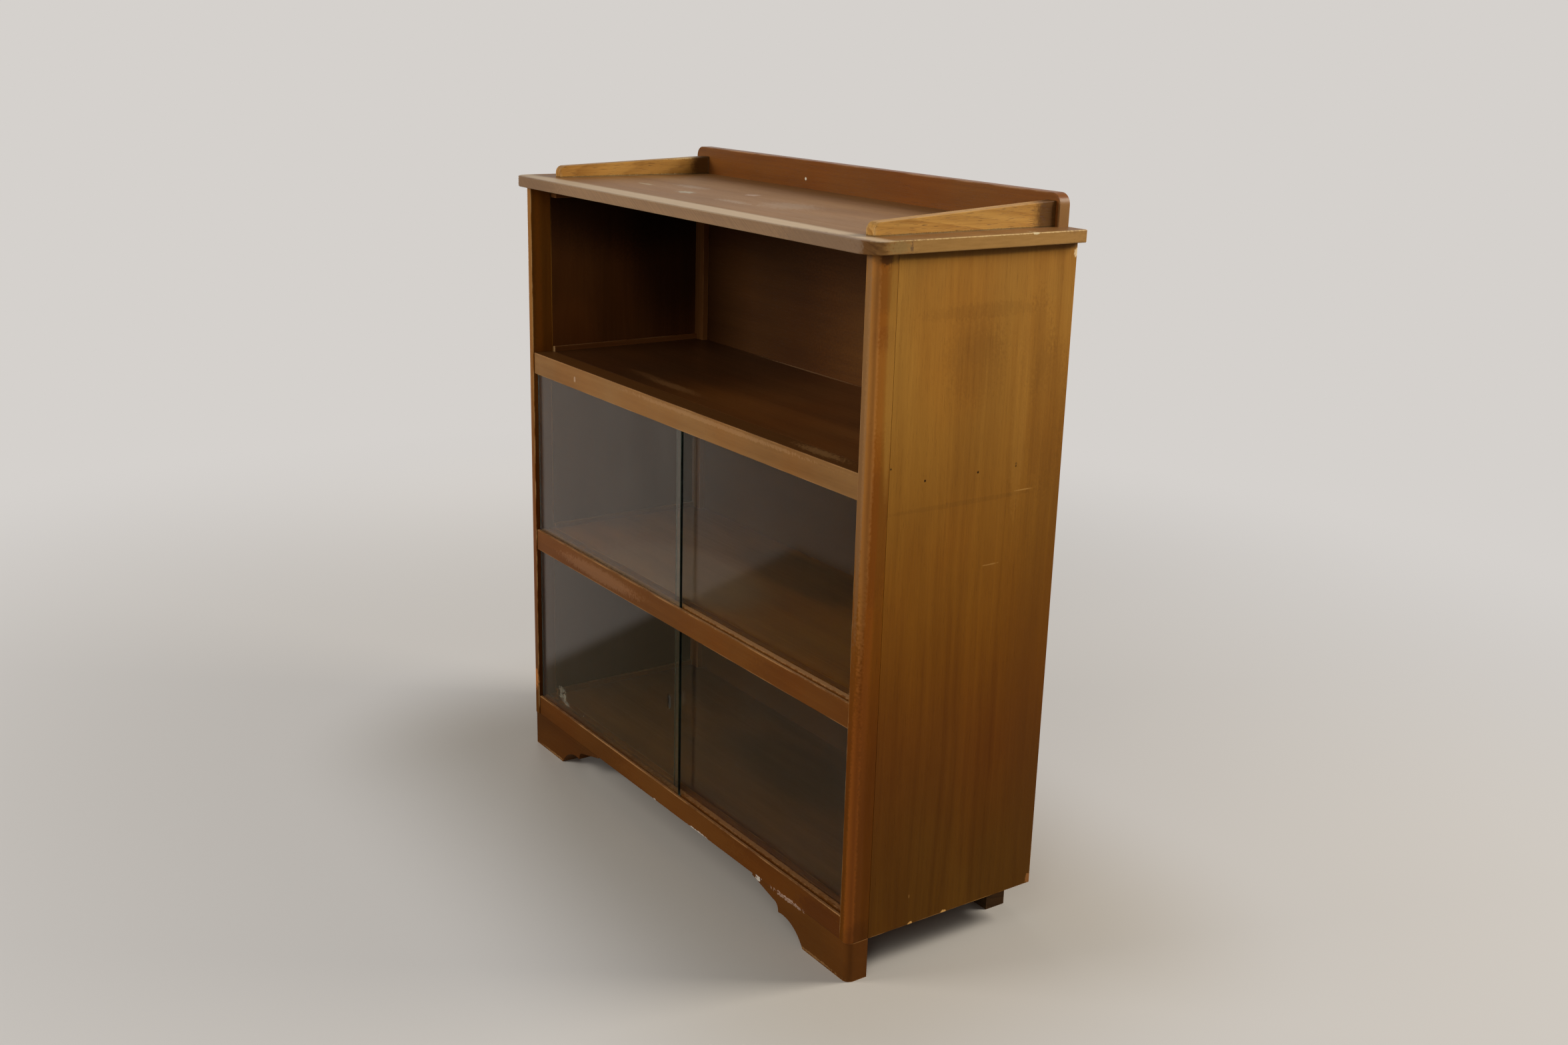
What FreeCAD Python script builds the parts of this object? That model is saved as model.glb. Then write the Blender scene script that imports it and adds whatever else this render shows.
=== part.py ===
import FreeCAD, Part
import os
import re
import Sketcher
from FreeCAD import Vector

# Glazed bookcase: two side frames carry a top board with a low gallery, three fixed shelves
# with moulded front rails, and four frameless glass doors that slide in grooves in the rails.
# Millimetres. X runs along the front, Y from the front to the back, Z up from the floor.
# The origin lies on the floor, under the middle of the top board.

NODE_FOLDER = "parts"

# name, value, what it is
SIZES = [
    ("case_width", 950, "over the two side frames"),
    ("case_depth", 335, "front of the stiles to the back of the case"),
    ("foot_height", 60, "floor to the underside of the case"),
    ("bottom_rail_height", 35, "front rail under the lower doors"),
    ("lower_opening", 278, "door opening between bottom and middle rail"),
    ("upper_opening", 278, "door opening between middle and upper rail"),
    ("shelf_rail_height", 36, "front rail of the middle and upper shelf"),
    ("open_height", 277, "open compartment under the top board"),
    ("top_thick", 17, "top board"),
    ("top_side_over", 12.5, "top board past each side frame"),
    ("top_front_over", 18, "top board past the front"),
    ("top_back_over", 4, "top board past the back"),
    ("top_corner_radius", 32, "front corners of the top board"),
    ("stile_thick", 19, "front stile, across the front"),
    ("stile_depth", 36, "front stile, front to back"),
    ("stile_nose", 9, "radius of the stile's outer front edge"),
    ("stile_arris", 2, "radius of the stile's inner front edge"),
    ("panel_thick", 22, "side panel behind the stile, a little proud of it inside"),
    ("post_width", 26, "rear corner post, across the back"),
    ("post_depth", 10, "rear corner post, front to back"),
    ("back_thick", 5, "plywood back"),
    ("rail_setback", 2, "rail face behind the stile face"),
    ("lip_width", 5, "wood in front of the front groove"),
    ("groove_width", 5, "door grooves"),
    ("rib_width", 9, "wood between the two grooves"),
    ("track_depth", 5, "grooves under the doors"),
    ("head_depth", 10, "grooves over the doors"),
    ("shelf_thick", 10, "shelf boards"),
    ("bead_width", 6, "bead between the end of a shelf and the side panel"),
    ("bead_height", 9, "bead above the face of its shelf"),
    ("bearer_width", 16, "bearer under the end of a shelf"),
    ("bearer_height", 15, "bearer under the end of a shelf"),
    ("cleat_size", 18, "square cleat between side panel and top board"),
    ("back_rail_depth", 20, "rail under the back of the bottom board"),
    ("glass_thick", 4, "door glass"),
    ("door_overlap", 33, "how far the closed doors pass each other"),
    ("door_end_gap", 0.5, "door to stile when closed"),
    ("door_float", 0.3, "door above the floor of its groove"),
    ("door_engage", 4, "door in the groove above it"),
    ("grip_from_edge", 30, "middle of the finger grip to the door's edge"),
    ("grip_above_middle", 8, "finger grip over the middle of the door"),
    ("grip_width", 8, "finger grip, along the door"),
    ("grip_depth", 1.4, "finger grip, into the glass"),
    ("grip_wheel_radius", 60, "grinding wheel that cut the finger grip"),
    ("foot_wing", 237, "front foot along the front"),
    ("cove_from_side", 158, "middle of the large cove"),
    ("cove_radius", 60, "large cove"),
    ("cove_drop", 30, "middle of the large cove below the floor"),
    ("scoop_from_side", 181.5, "middle of the small cove"),
    ("scoop_radius", 13, "small cove"),
    ("scoop_height", 31, "middle of the small cove over the floor"),
    ("wing_tip", 2.5, "thickness of the foot's far end"),
    ("foot_nose", 11, "radius of the front foot's outer corner"),
    ("rear_foot_inset", 50, "rear foot in from the side of the case"),
    ("rear_foot_width", 60, "rear foot along the back"),
    ("rear_foot_depth", 35, "rear foot, front to back"),
    ("gallery_inset", 23, "gallery rail at the back, in from the side of the case"),
    ("gallery_thick", 19, "gallery rail at the back"),
    ("gallery_height", 44, "gallery rail at the back"),
    ("gallery_corner", 16, "rounded ends of the gallery's back rail"),
    ("gallery_housing", 2, "gallery rails let into the top board"),
    ("wing_rail_thick", 18, "gallery side rails"),
    ("wing_rail_nose", 11, "rounded front of the gallery side rails"),
    ("left_rail_inset", 21, "left gallery rail in from the end of the back one"),
    ("left_rail_start", 34, "left gallery rail behind the stile face"),
    ("left_rail_front", 18, "height of the left gallery rail at its front"),
    ("left_rail_back", 29, "height of the left gallery rail at its back"),
    ("right_rail_inset", 6.5, "right gallery rail in from the end of the back one"),
    ("right_rail_start", 19, "right gallery rail behind the stile face"),
    ("right_rail_front", 17, "height of the right gallery rail at its front"),
    ("right_rail_back", 34, "height of the right gallery rail at its back"),
    ("pin_radius", 1.2, "panel pins that hold the upper bearers"),
    ("pin_length", 30, "panel pins"),
    ("pin_sunk", 1, "pin heads below the outer face"),
    ("pin_play", 0.05, "between a pin and its hole"),
    ("pin_front", 95, "first pin behind the stile face"),
    ("pin_middle", 185, "second pin behind the stile face"),
    ("pin_back", 252, "third pin behind the stile face"),
]

doc = FreeCAD.newDocument("Bookcase")
sheet = doc.addObject("Spreadsheet::Sheet", "Dims")
for row, (alias, value, meaning) in enumerate(SIZES, start=1):
    sheet.set(f"A{row}", str(value))
    sheet.set(f"B{row}", meaning)
    sheet.setAlias(f"A{row}", alias)
doc.recompute()

ALIASES = {alias for alias, _, _ in SIZES}

# Places that several pieces share, worked out from the sizes.
FRONT = "((top_front_over - case_depth - top_back_over) / 2)"
BACK = f"({FRONT} + case_depth)"
BACK_INSIDE = f"({BACK} - back_thick)"
POST_FRONT = f"({BACK_INSIDE} - post_depth)"
RAIL_FRONT = f"({FRONT} + rail_setback)"
STILE_BACK = f"({FRONT} + stile_depth)"
RAIL_DEPTH = "(stile_depth - rail_setback)"
OUTSIDE = "(case_width / 2)"
STILE_INSIDE = f"({OUTSIDE} - stile_thick)"
PANEL_INSIDE = f"({OUTSIDE} - panel_thick)"
GALLERY_END = f"({OUTSIDE} - gallery_inset)"
BOTTOM_TOP = "(foot_height + bottom_rail_height)"
MIDDLE_BASE = f"({BOTTOM_TOP} + lower_opening)"
MIDDLE_TOP = f"({MIDDLE_BASE} + shelf_rail_height)"
UPPER_BASE = f"({MIDDLE_TOP} + upper_opening)"
UPPER_TOP = f"({UPPER_BASE} + shelf_rail_height)"
CASE_TOP = f"({UPPER_TOP} + open_height)"
TOP_FACE = f"({CASE_TOP} + top_thick)"
CASE_HEIGHT = f"({CASE_TOP} - foot_height)"
PANEL_FRONT_TO_POST = f"({POST_FRONT} - {STILE_BACK})"
GALLERY_FRONT = f"({BACK} + top_back_over - gallery_thick)"
GALLERY_BASE = f"({TOP_FACE} - gallery_housing)"

SIDES = (("left", -1), ("right", 1))
LEVELS = (("bottom", BOTTOM_TOP), ("middle", MIDDLE_TOP), ("upper", UPPER_TOP))

nodes = []


def cells(formula):
    """The formula with every size's name turned into a reference to its cell."""
    return re.sub(r"[a-z_]+", lambda word: f"Dims.{word.group()}" if word.group() in ALIASES
                  else word.group(), formula)


def bind(item, **formulas):
    """Ties properties to formulas; a double underscore in a name stands for a dot."""
    for name, formula in formulas.items():
        item.setExpression(name.replace("__", "."), cells(formula))


def seat(item, x, y, z):
    """Puts an object's own origin at a place given by three formulas."""
    bind(item, Placement__Base__x=x, Placement__Base__y=y, Placement__Base__z=z)


def keep(item, name):
    """Names an object as one sub-part of the bookcase."""
    item.Label = name
    nodes.append(item)
    return item


def block(name, size, corner):
    """A plain rectangular block with its low corner at the given place."""
    item = doc.addObject("Part::Box", name)
    bind(item, Length=size[0], Width=size[1], Height=size[2])
    seat(item, *corner)
    return item


def body_with_plane(name, role):
    """An empty body and one of its own origin planes."""
    body = doc.addObject("PartDesign::Body", name)
    plane = next(feature for feature in body.Origin.OriginFeatures if feature.Role == role)
    return body, plane


def flat_sketch(body, plane, name):
    """A sketch lying on one of the body's own origin planes."""
    sketch = body.newObject("Sketcher::SketchObject", name)
    sketch.AttachmentSupport = [(plane, "")]
    sketch.MapMode = "FlatFace"
    return sketch


def fix_point(sketch, geometry, end, x, y):
    """Ties one point of a sketch to its distances from the sketch's origin."""
    for kind, formula, axis in (("DistanceX", x, -2), ("DistanceY", y, -1)):
        if formula == "0":
            sketch.addConstraint(Sketcher.Constraint("PointOnObject", geometry, end, axis))
            continue
        number = sketch.addConstraint(Sketcher.Constraint(kind, -1, 1, geometry, end, 1.0))
        sketch.setExpression(f"Constraints[{number}]", cells(formula))


def outline(body, plane, name, corners):
    """A closed outline of straight lines through corners given as pairs of formulas."""
    sketch = flat_sketch(body, plane, name)
    count = len(corners)
    ring = Part.makeCircle(10.0).discretize(count + 1)
    for start, end in zip(ring[:-1], ring[1:]):
        sketch.addGeometry(Part.LineSegment(start, end), False)
    for index, (x, y) in enumerate(corners):
        before = (index - 1) % count
        sketch.addConstraint(Sketcher.Constraint("Coincident", before, 2, index, 1))
        fix_point(sketch, index, 1, x, y)
    return sketch


def rectangle(body, plane, name, width, height, x="0", y="0"):
    """A rectangle of the given width and height from its low corner."""
    right = width if x == "0" else f"{x} + {width}"
    top = height if y == "0" else f"{y} + {height}"
    return outline(body, plane, name, [(x, y), (right, y), (right, top), (x, top)])


def circles(body, plane, name, radius, centres):
    """Circles of one radius at centres given as pairs of formulas."""
    sketch = flat_sketch(body, plane, name)
    for index, (x, y) in enumerate(centres):
        sketch.addGeometry(Part.Circle(Vector(index * 5.0, 0, 0), Vector(0, 0, 1), 1.0), False)
        fix_point(sketch, index, 3, x, y)
        number = sketch.addConstraint(Sketcher.Constraint("Radius", index, 1.0))
        sketch.setExpression(f"Constraints[{number}]", cells(radius))
    return sketch


def pad(body, sketch, length, reverse=False):
    """Thickens a sketch into the body's solid."""
    feature = body.newObject("PartDesign::Pad", sketch.Name + "Pad")
    feature.Profile = sketch
    feature.Reversed = reverse
    bind(feature, Length=length)
    return feature


def pocket_through(body, sketch, reverse=False):
    """Cuts a sketch right through the body, and checks that it took wood away."""
    doc.recompute()
    volume = body.Shape.Volume
    feature = body.newObject("PartDesign::Pocket", sketch.Name + "Cut")
    feature.Profile = sketch
    feature.Type = "ThroughAll"
    feature.Reversed = reverse
    doc.recompute()
    if not body.Shape.Volume < volume:
        raise RuntimeError(f"{feature.Name} cuts nothing")
    return feature


def round_edges(body, name, radius, chosen):
    """Rounds the edges of the body's solid whose middle passes the test."""
    doc.recompute()
    last = body.Tip
    names = [f"Edge{number}" for number, edge in enumerate(last.Shape.Edges, start=1)
             if chosen(edge.CenterOfMass, edge)]
    if not names:
        raise RuntimeError(f"{name} finds no edge")
    feature = body.newObject("PartDesign::Fillet", name)
    feature.Base = (last, names)
    bind(feature, Radius=radius)
    return feature


def upright(edge):
    """True for a straight vertical edge."""
    box = edge.BoundBox
    return box.ZLength > 1 and box.XLength < 0.01 and box.YLength < 0.01


def near(value, target):
    """True where a coordinate lies on a plane."""
    return abs(value - target) < 0.01


def side_rail_edge(side, sign):
    """The low X of a gallery side rail."""
    outer = f"({GALLERY_END} - {side}_rail_inset)"
    return f"({outer} - wing_rail_thick)" if sign > 0 else f"(-{outer})"


def side_rail_length(side):
    """How far a gallery side rail runs from its front to the back rail."""
    return f"({GALLERY_FRONT} - {FRONT} - {side}_rail_start)"


def top_board():
    """Solid board over the case, with rounded front corners and shallow housings for the gallery."""
    body, plane = body_with_plane("TopBoard", "XY_Plane")
    left_edge = f"({OUTSIDE} + top_side_over)"
    front_edge = f"({FRONT} - top_front_over)"
    sketch = rectangle(body, plane, "TopOutline", f"(2 * {left_edge})",
                       f"({BACK} + top_back_over - {front_edge})")
    pad(body, sketch, "top_thick")
    round_edges(body, "TopCorners", "top_corner_radius",
                lambda middle, edge: upright(edge) and near(middle.y, 0))
    housing(body, plane, "BackHousing", f"(2 * {GALLERY_END})", "gallery_thick",
            f"({left_edge} - {GALLERY_END})", f"({GALLERY_FRONT} - {front_edge})")
    for side, sign in SIDES:
        housing(body, plane, f"{side.title()}Housing", "wing_rail_thick", side_rail_length(side),
                f"({left_edge} + {side_rail_edge(side, sign)})",
                f"({FRONT} + {side}_rail_start - {front_edge})")
    seat(body, f"-{left_edge}", front_edge, CASE_TOP)
    keep(body, "top_board")


def housing(body, plane, name, width, length, x, y):
    """Rectangular recess in the upper face of the top board."""
    sketch = rectangle(body, plane, name, width, length, x, y)
    bind(sketch, AttachmentOffset__Base__z="top_thick - gallery_housing")
    pocket_through(body, sketch, reverse=True)


def gallery_back():
    """Low upstand along the back of the top board, its two upper corners rounded."""
    body, plane = body_with_plane("GalleryBack", "XZ_Plane")
    sketch = rectangle(body, plane, "GalleryOutline", f"(2 * {GALLERY_END})",
                       "(gallery_height + gallery_housing)")
    pad(body, sketch, "gallery_thick", reverse=True)
    round_edges(body, "GalleryCorners", "gallery_corner",
                lambda middle, edge: edge.BoundBox.YLength > 1
                and near(middle.z, body.Shape.BoundBox.ZMax))
    seat(body, f"-{GALLERY_END}", GALLERY_FRONT, GALLERY_BASE)
    keep(body, "gallery_back_rail")


def gallery_side(side, sign):
    """Side upstand on the top board, lower at its rounded front and butted to the back rail."""
    body, plane = body_with_plane(f"Gallery{side.title()}", "YZ_Plane")
    length = side_rail_length(side)
    sketch = outline(body, plane, f"Gallery{side.title()}Outline",
                     [("0", "0"), (length, "0"),
                      (length, f"({side}_rail_back + gallery_housing)"),
                      ("0", f"({side}_rail_front + gallery_housing)")])
    pad(body, sketch, "wing_rail_thick")
    round_edges(body, f"Gallery{side.title()}Nose", "wing_rail_nose",
                lambda middle, edge: edge.BoundBox.XLength > 1
                and near(middle.y, 0) and middle.z > 1)
    seat(body, side_rail_edge(side, sign), f"{FRONT} + {side}_rail_start", GALLERY_BASE)
    keep(body, f"gallery_{side}_rail")


def front_stile(side, sign):
    """Solid upright at the front of a side frame, its outer front edge well rounded."""
    body, plane = body_with_plane(f"Stile{side.title()}", "XY_Plane")
    sketch = rectangle(body, plane, f"Stile{side.title()}Section", "stile_thick", "stile_depth")
    pad(body, sketch, CASE_HEIGHT)

    def on_side(middle, edge, outer):
        at_right = middle.x > 1
        return upright(edge) and near(middle.y, 0) and at_right == (outer == (sign > 0))

    round_edges(body, f"Stile{side.title()}Nose", "stile_nose",
                lambda middle, edge: on_side(middle, edge, True))
    round_edges(body, f"Stile{side.title()}Arris", "stile_arris",
                lambda middle, edge: on_side(middle, edge, False))
    left_edge = STILE_INSIDE if sign > 0 else f"-{OUTSIDE}"
    seat(body, left_edge, FRONT, "foot_height")
    keep(body, f"{side}_front_stile")


def side_panel(side, sign):
    """Veneered board behind the stile, flush with it outside and pinned to the upper bearer."""
    body, plane = body_with_plane(f"Panel{side.title()}", "YZ_Plane")
    sketch = rectangle(body, plane, f"Panel{side.title()}Outline",
                       "case_depth - stile_depth", CASE_HEIGHT)
    pad(body, sketch, "panel_thick")
    height = f"({UPPER_TOP} - shelf_thick - bearer_height / 2 - foot_height)"
    centres = [(f"({place} - stile_depth)", height) for place in PIN_PLACES]
    holes = circles(body, plane, f"Panel{side.title()}Holes", "pin_radius + pin_play", centres)
    pocket_through(body, holes, reverse=True)
    left_edge = PANEL_INSIDE if sign > 0 else f"-{OUTSIDE}"
    seat(body, left_edge, STILE_BACK, "foot_height")
    keep(body, f"{side}_side_panel")


PIN_PLACES = ("pin_front", "pin_middle", "pin_back")
PIN_LINE = f"({UPPER_TOP} - shelf_thick - bearer_height / 2)"


def pin_rods(name, sign, radius, start, length):
    """Round rods along X on the three pin places, from a distance inside the outer face."""
    rods = []
    for number, place in enumerate(PIN_PLACES, start=1):
        rod = doc.addObject("Part::Cylinder", f"{name}{number}")
        rod.Placement = FreeCAD.Placement(Vector(), FreeCAD.Rotation(Vector(0, 1, 0), 90))
        bind(rod, Radius=radius, Height=length)
        x = f"{OUTSIDE} - {start} - {length}" if sign > 0 else f"-{OUTSIDE} + {start}"
        seat(rod, x, f"{FRONT} + {place}", PIN_LINE)
        rods.append(rod)
    return rods


def panel_pins(side, sign):
    """Three steel pins driven through the side panel into the upper bearer."""
    pins = doc.addObject("Part::Compound", f"Pins{side.title()}")
    pins.Links = pin_rods(f"Pin{side.title()}", sign, "pin_radius", "pin_sunk", "pin_length")
    keep(pins, f"{side}_panel_pins")


def rear_post(side, sign):
    """Upright in the rear corner, between side panel and back."""
    left_edge = f"{PANEL_INSIDE} - post_width" if sign > 0 else f"-{PANEL_INSIDE}"
    item = block(f"Post{side.title()}", ("post_width", "post_depth", CASE_HEIGHT),
                 (left_edge, POST_FRONT, "foot_height"))
    keep(item, f"{side}_rear_post")


def back_panel():
    """Plywood back let in between the side panels."""
    item = block("Back", (f"2 * {PANEL_INSIDE}", "back_thick", CASE_HEIGHT),
                 (f"-{PANEL_INSIDE}", BACK_INSIDE, "foot_height"))
    keep(item, "back_panel")


def groove_steps(edge, depth, inward):
    """Corners of a rail's grooved edge from front to back; inward is the side of the wood."""
    floor = f"({edge} {inward} {depth})"
    starts = ("lip_width", "(lip_width + groove_width + rib_width)")
    steps = []
    for start in starts:
        end = f"({start} + groove_width)"
        steps += [(start, edge), (start, floor), (end, floor), (end, edge)]
    return steps


def front_rail(name, height, base, grooves_above, grooves_below):
    """Front rail of a shelf, ploughed with the door grooves, fitted between the stiles."""
    body, plane = body_with_plane(name.title().replace("_", ""), "YZ_Plane")
    corners = [("0", "0")]
    if grooves_below:
        corners += groove_steps("0", "head_depth", "+")
    corners += [(RAIL_DEPTH, "0"), (RAIL_DEPTH, height)]
    if grooves_above:
        corners += reversed(groove_steps(height, "track_depth", "-"))
    corners.append(("0", height))
    sketch = outline(body, plane, body.Name + "Section", corners)
    pad(body, sketch, f"2 * {STILE_INSIDE}")
    seat(body, f"-{STILE_INSIDE}", RAIL_FRONT, base)
    keep(body, name)


def shelf_board(name, top):
    """Board between the beads, flush with the front rail's top and notched for the rear posts."""
    body, plane = body_with_plane(name.title().replace("_", ""), "XY_Plane")
    width = f"(2 * ({PANEL_INSIDE} - bead_width))"
    depth = f"({BACK_INSIDE} - {STILE_BACK})"
    notch_x = "(post_width - bead_width)"
    notch_y = f"({depth} - post_depth)"
    corners = [("0", "0"), (width, "0"), (width, notch_y), (f"{width} - {notch_x}", notch_y),
               (f"{width} - {notch_x}", depth), (notch_x, depth),
               (notch_x, notch_y), ("0", notch_y)]
    sketch = outline(body, plane, body.Name + "Outline", corners)
    pad(body, sketch, "shelf_thick")
    seat(body, f"-({PANEL_INSIDE} - bead_width)", STILE_BACK, f"{top} - shelf_thick")
    keep(body, name)


def side_strip(name, sign, width, height, base):
    """Square strip on the inside of a side panel, from the stile to the rear post."""
    left_edge = f"{PANEL_INSIDE} - {width}" if sign > 0 else f"-{PANEL_INSIDE}"
    return block(name, (width, PANEL_FRONT_TO_POST, height), (left_edge, STILE_BACK, base))


def shelf_strips(level, top, side, sign):
    """Bead beside and bearer under one end of a shelf."""
    bead = side_strip(f"Bead{level.title()}{side.title()}", sign, "bead_width",
                      "(shelf_thick + bead_height)", f"{top} - shelf_thick")
    keep(bead, f"{level}_{side}_bead")
    name = f"Bearer{level.title()}{side.title()}"
    bearer = side_strip(name, sign, "bearer_width", "bearer_height",
                        f"{top} - shelf_thick - bearer_height")
    if level == "upper":
        holes = pin_rods(name + "Hole", sign, "pin_radius + pin_play", "0",
                         "(pin_sunk + pin_length + pin_play)")
        drills = doc.addObject("Part::Compound", name + "Holes")
        drills.Links = holes
        drilled = doc.addObject("Part::Cut", name + "Drilled")
        drilled.Base = bearer
        drilled.Tool = drills
        bearer = drilled
    keep(bearer, f"{level}_{side}_bearer")


def top_cleat(side, sign):
    """Strip that holds the top board down to a side panel."""
    item = side_strip(f"Cleat{side.title()}", sign, "cleat_size", "cleat_size",
                      f"{CASE_TOP} - cleat_size")
    keep(item, f"top_{side}_cleat")


def back_rail():
    """Rail on edge under the back of the bottom board, between the rear posts."""
    height = "(bottom_rail_height - shelf_thick)"
    item = block("BackRail", (f"2 * ({PANEL_INSIDE} - bearer_width)", "back_rail_depth", height),
                 (f"-({PANEL_INSIDE} - bearer_width)", f"{POST_FRONT} - back_rail_depth", "foot_height"))
    keep(item, "lower_back_rail")


def front_foot(side, sign):
    """Bracket foot under stile and bottom rail, its inner edge sawn in two coves."""
    title = side.title()
    body, plane = body_with_plane(f"Foot{title}", "XZ_Plane")

    def along(distance):
        return f"({distance})" if sign < 0 else f"(-{distance})"

    blank = outline(body, plane, f"Foot{title}Blank",
                    [("0", "0"), (along("foot_wing"), "0"),
                     (along("foot_wing"), "foot_height"), ("0", "foot_height")])
    pad(body, blank, RAIL_DEPTH, reverse=True)
    cove = circles(body, plane, f"Foot{title}Cove", "cove_radius",
                   [(along("cove_from_side"), "-cove_drop")])
    pocket_through(body, cove)
    scoop = circles(body, plane, f"Foot{title}Scoop", "scoop_radius",
                    [(along("scoop_from_side"), "scoop_height")])
    pocket_through(body, scoop)
    taper = outline(body, plane, f"Foot{title}Taper",
                    [(along("scoop_from_side"), "-cove_drop"),
                     (along("(foot_wing + cove_drop)"), "-cove_drop"),
                     (along("(foot_wing + cove_drop)"), "(foot_height - wing_tip)"),
                     (along("foot_wing"), "(foot_height - wing_tip)"),
                     (along("scoop_from_side"), "(scoop_height + scoop_radius)")])
    pocket_through(body, taper)
    below = outline(body, plane, f"Foot{title}Below",
                    [(along("cove_from_side"), "-cove_drop"),
                     (along("(scoop_from_side + scoop_radius)"), "-cove_drop"),
                     (along("(scoop_from_side + scoop_radius)"), "scoop_height"),
                     (along("(scoop_from_side - scoop_radius)"), "scoop_height"),
                     (along("(scoop_from_side - scoop_radius)"), "(scoop_height / 2)"),
                     (along("cove_from_side"), "(scoop_height / 2)")])
    pocket_through(body, below)
    round_edges(body, f"Foot{title}Nose", "foot_nose",
                lambda middle, edge: upright(edge) and near(middle.x, 0) and near(middle.y, 0))
    seat(body, f"{'-' if sign < 0 else ''}{OUTSIDE}", RAIL_FRONT, "0")
    keep(body, f"{side}_front_foot")


def rear_foot(side, sign):
    """Plain block under the back rail, flush with the back of the case."""
    outer = f"({OUTSIDE} - rear_foot_inset)"
    left_edge = f"{outer} - rear_foot_width" if sign > 0 else f"-{outer}"
    item = block(f"RearFoot{side.title()}", ("rear_foot_width", "rear_foot_depth", "foot_height"),
                 (left_edge, f"{BACK} - rear_foot_depth", "0"))
    keep(item, f"{side}_rear_foot")


def glass_door(level, side, sign, base, opening):
    """Frameless pane: the left one runs in the front groove, the right one in the rear groove."""
    body, plane = body_with_plane(f"Door{level.title()}{side.title()}", "XZ_Plane")
    width = f"(({STILE_INSIDE} - door_end_gap) + door_overlap / 2)"
    height = f"({opening} + track_depth - door_float + door_engage)"
    sketch = rectangle(body, plane, body.Name + "Outline", width, height)
    pad(body, sketch, "glass_thick", reverse=True)
    if (level, side) == ("lower", "left"):
        finger_grip(body, width, height)
    clearance = "(groove_width - glass_thick) / 2"
    groove = "0" if sign < 0 else "(groove_width + rib_width)"
    left_edge = "-door_overlap / 2" if sign > 0 else f"-{STILE_INSIDE} + door_end_gap"
    seat(body, left_edge, f"{RAIL_FRONT} + lip_width + {groove} + {clearance}",
         f"{base} - track_depth + door_float")
    keep(body, f"{level}_{side}_door")


def finger_grip(body, width, height):
    """Shallow hollow ground into a door's front face by the rim of a wheel."""
    wheel = body.newObject("PartDesign::SubtractiveCylinder", body.Name + "Grip")
    wheel.AttachmentOffset = FreeCAD.Placement(Vector(), FreeCAD.Rotation(Vector(0, 1, 0), 90))
    bind(wheel, Radius="grip_wheel_radius", Height="grip_width",
         Placement__Base__x=f"{width} - grip_from_edge - grip_width / 2",
         Placement__Base__y="grip_depth - grip_wheel_radius",
         Placement__Base__z=f"{height} / 2 + grip_above_middle")
    wheel.Placement = FreeCAD.Placement(Vector(), FreeCAD.Rotation(Vector(0, 1, 0), 90))
    body.Tip = wheel


top_board()
gallery_back()
back_panel()
back_rail()
front_rail("bottom_rail", "bottom_rail_height", "foot_height", True, False)
front_rail("middle_rail", "shelf_rail_height", MIDDLE_BASE, True, True)
front_rail("upper_rail", "shelf_rail_height", UPPER_BASE, False, True)
for level, top in LEVELS:
    shelf_board(f"{level}_shelf", top)
for side, sign in SIDES:
    gallery_side(side, sign)
    front_stile(side, sign)
    side_panel(side, sign)
    panel_pins(side, sign)
    rear_post(side, sign)
    top_cleat(side, sign)
    front_foot(side, sign)
    rear_foot(side, sign)
    for level, top in LEVELS:
        shelf_strips(level, top, side, sign)
    glass_door("lower", side, sign, BOTTOM_TOP, "lower_opening")
    glass_door("upper", side, sign, MIDDLE_TOP, "upper_opening")

doc.recompute()

for item in doc.Objects:
    if "Invalid" in item.State or "Error" in item.State:
        raise RuntimeError(f"{item.Label} failed: {item.State}")
for item in nodes:
    if item.Shape.isNull() or not item.Shape.isValid():
        raise RuntimeError(f"{item.Label} has no sound shape")

os.makedirs(NODE_FOLDER, exist_ok=True)
for item in nodes:
    item.Shape.exportStep(os.path.join(NODE_FOLDER, item.Label + ".step"))
    box = item.Shape.BoundBox
    print(f"{item.Label:20s} {len(item.Shape.Solids)} solids  "
          f"X {box.XMin:8.2f} {box.XMax:8.2f}  Y {box.YMin:8.2f} {box.YMax:8.2f}  "
          f"Z {box.ZMin:8.2f} {box.ZMax:8.2f}  {item.Shape.Volume / 1000:9.2f} cm3")
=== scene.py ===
import bpy
import numpy as np
from mathutils import Matrix, Vector


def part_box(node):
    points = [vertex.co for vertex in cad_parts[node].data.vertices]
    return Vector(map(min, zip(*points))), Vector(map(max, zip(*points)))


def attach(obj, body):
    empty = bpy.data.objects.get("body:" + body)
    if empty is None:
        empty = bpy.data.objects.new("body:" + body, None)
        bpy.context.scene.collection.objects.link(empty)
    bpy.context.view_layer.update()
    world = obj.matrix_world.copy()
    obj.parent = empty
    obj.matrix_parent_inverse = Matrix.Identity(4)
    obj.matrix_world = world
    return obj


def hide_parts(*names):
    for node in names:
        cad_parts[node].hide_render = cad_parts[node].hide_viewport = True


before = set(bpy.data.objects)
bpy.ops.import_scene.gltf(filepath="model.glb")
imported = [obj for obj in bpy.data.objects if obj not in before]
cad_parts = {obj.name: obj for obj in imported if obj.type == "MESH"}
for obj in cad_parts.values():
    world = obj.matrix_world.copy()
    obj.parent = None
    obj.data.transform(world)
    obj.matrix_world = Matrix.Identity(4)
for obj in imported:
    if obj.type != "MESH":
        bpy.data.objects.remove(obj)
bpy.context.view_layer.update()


# ---- Stiles -------------------------------------------------------------------------------
# Two solid uprights at the front of the case, the full height of the carcass. The outer front
# arris is rounded over by hand. The side panels are glued into their backs.

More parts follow.
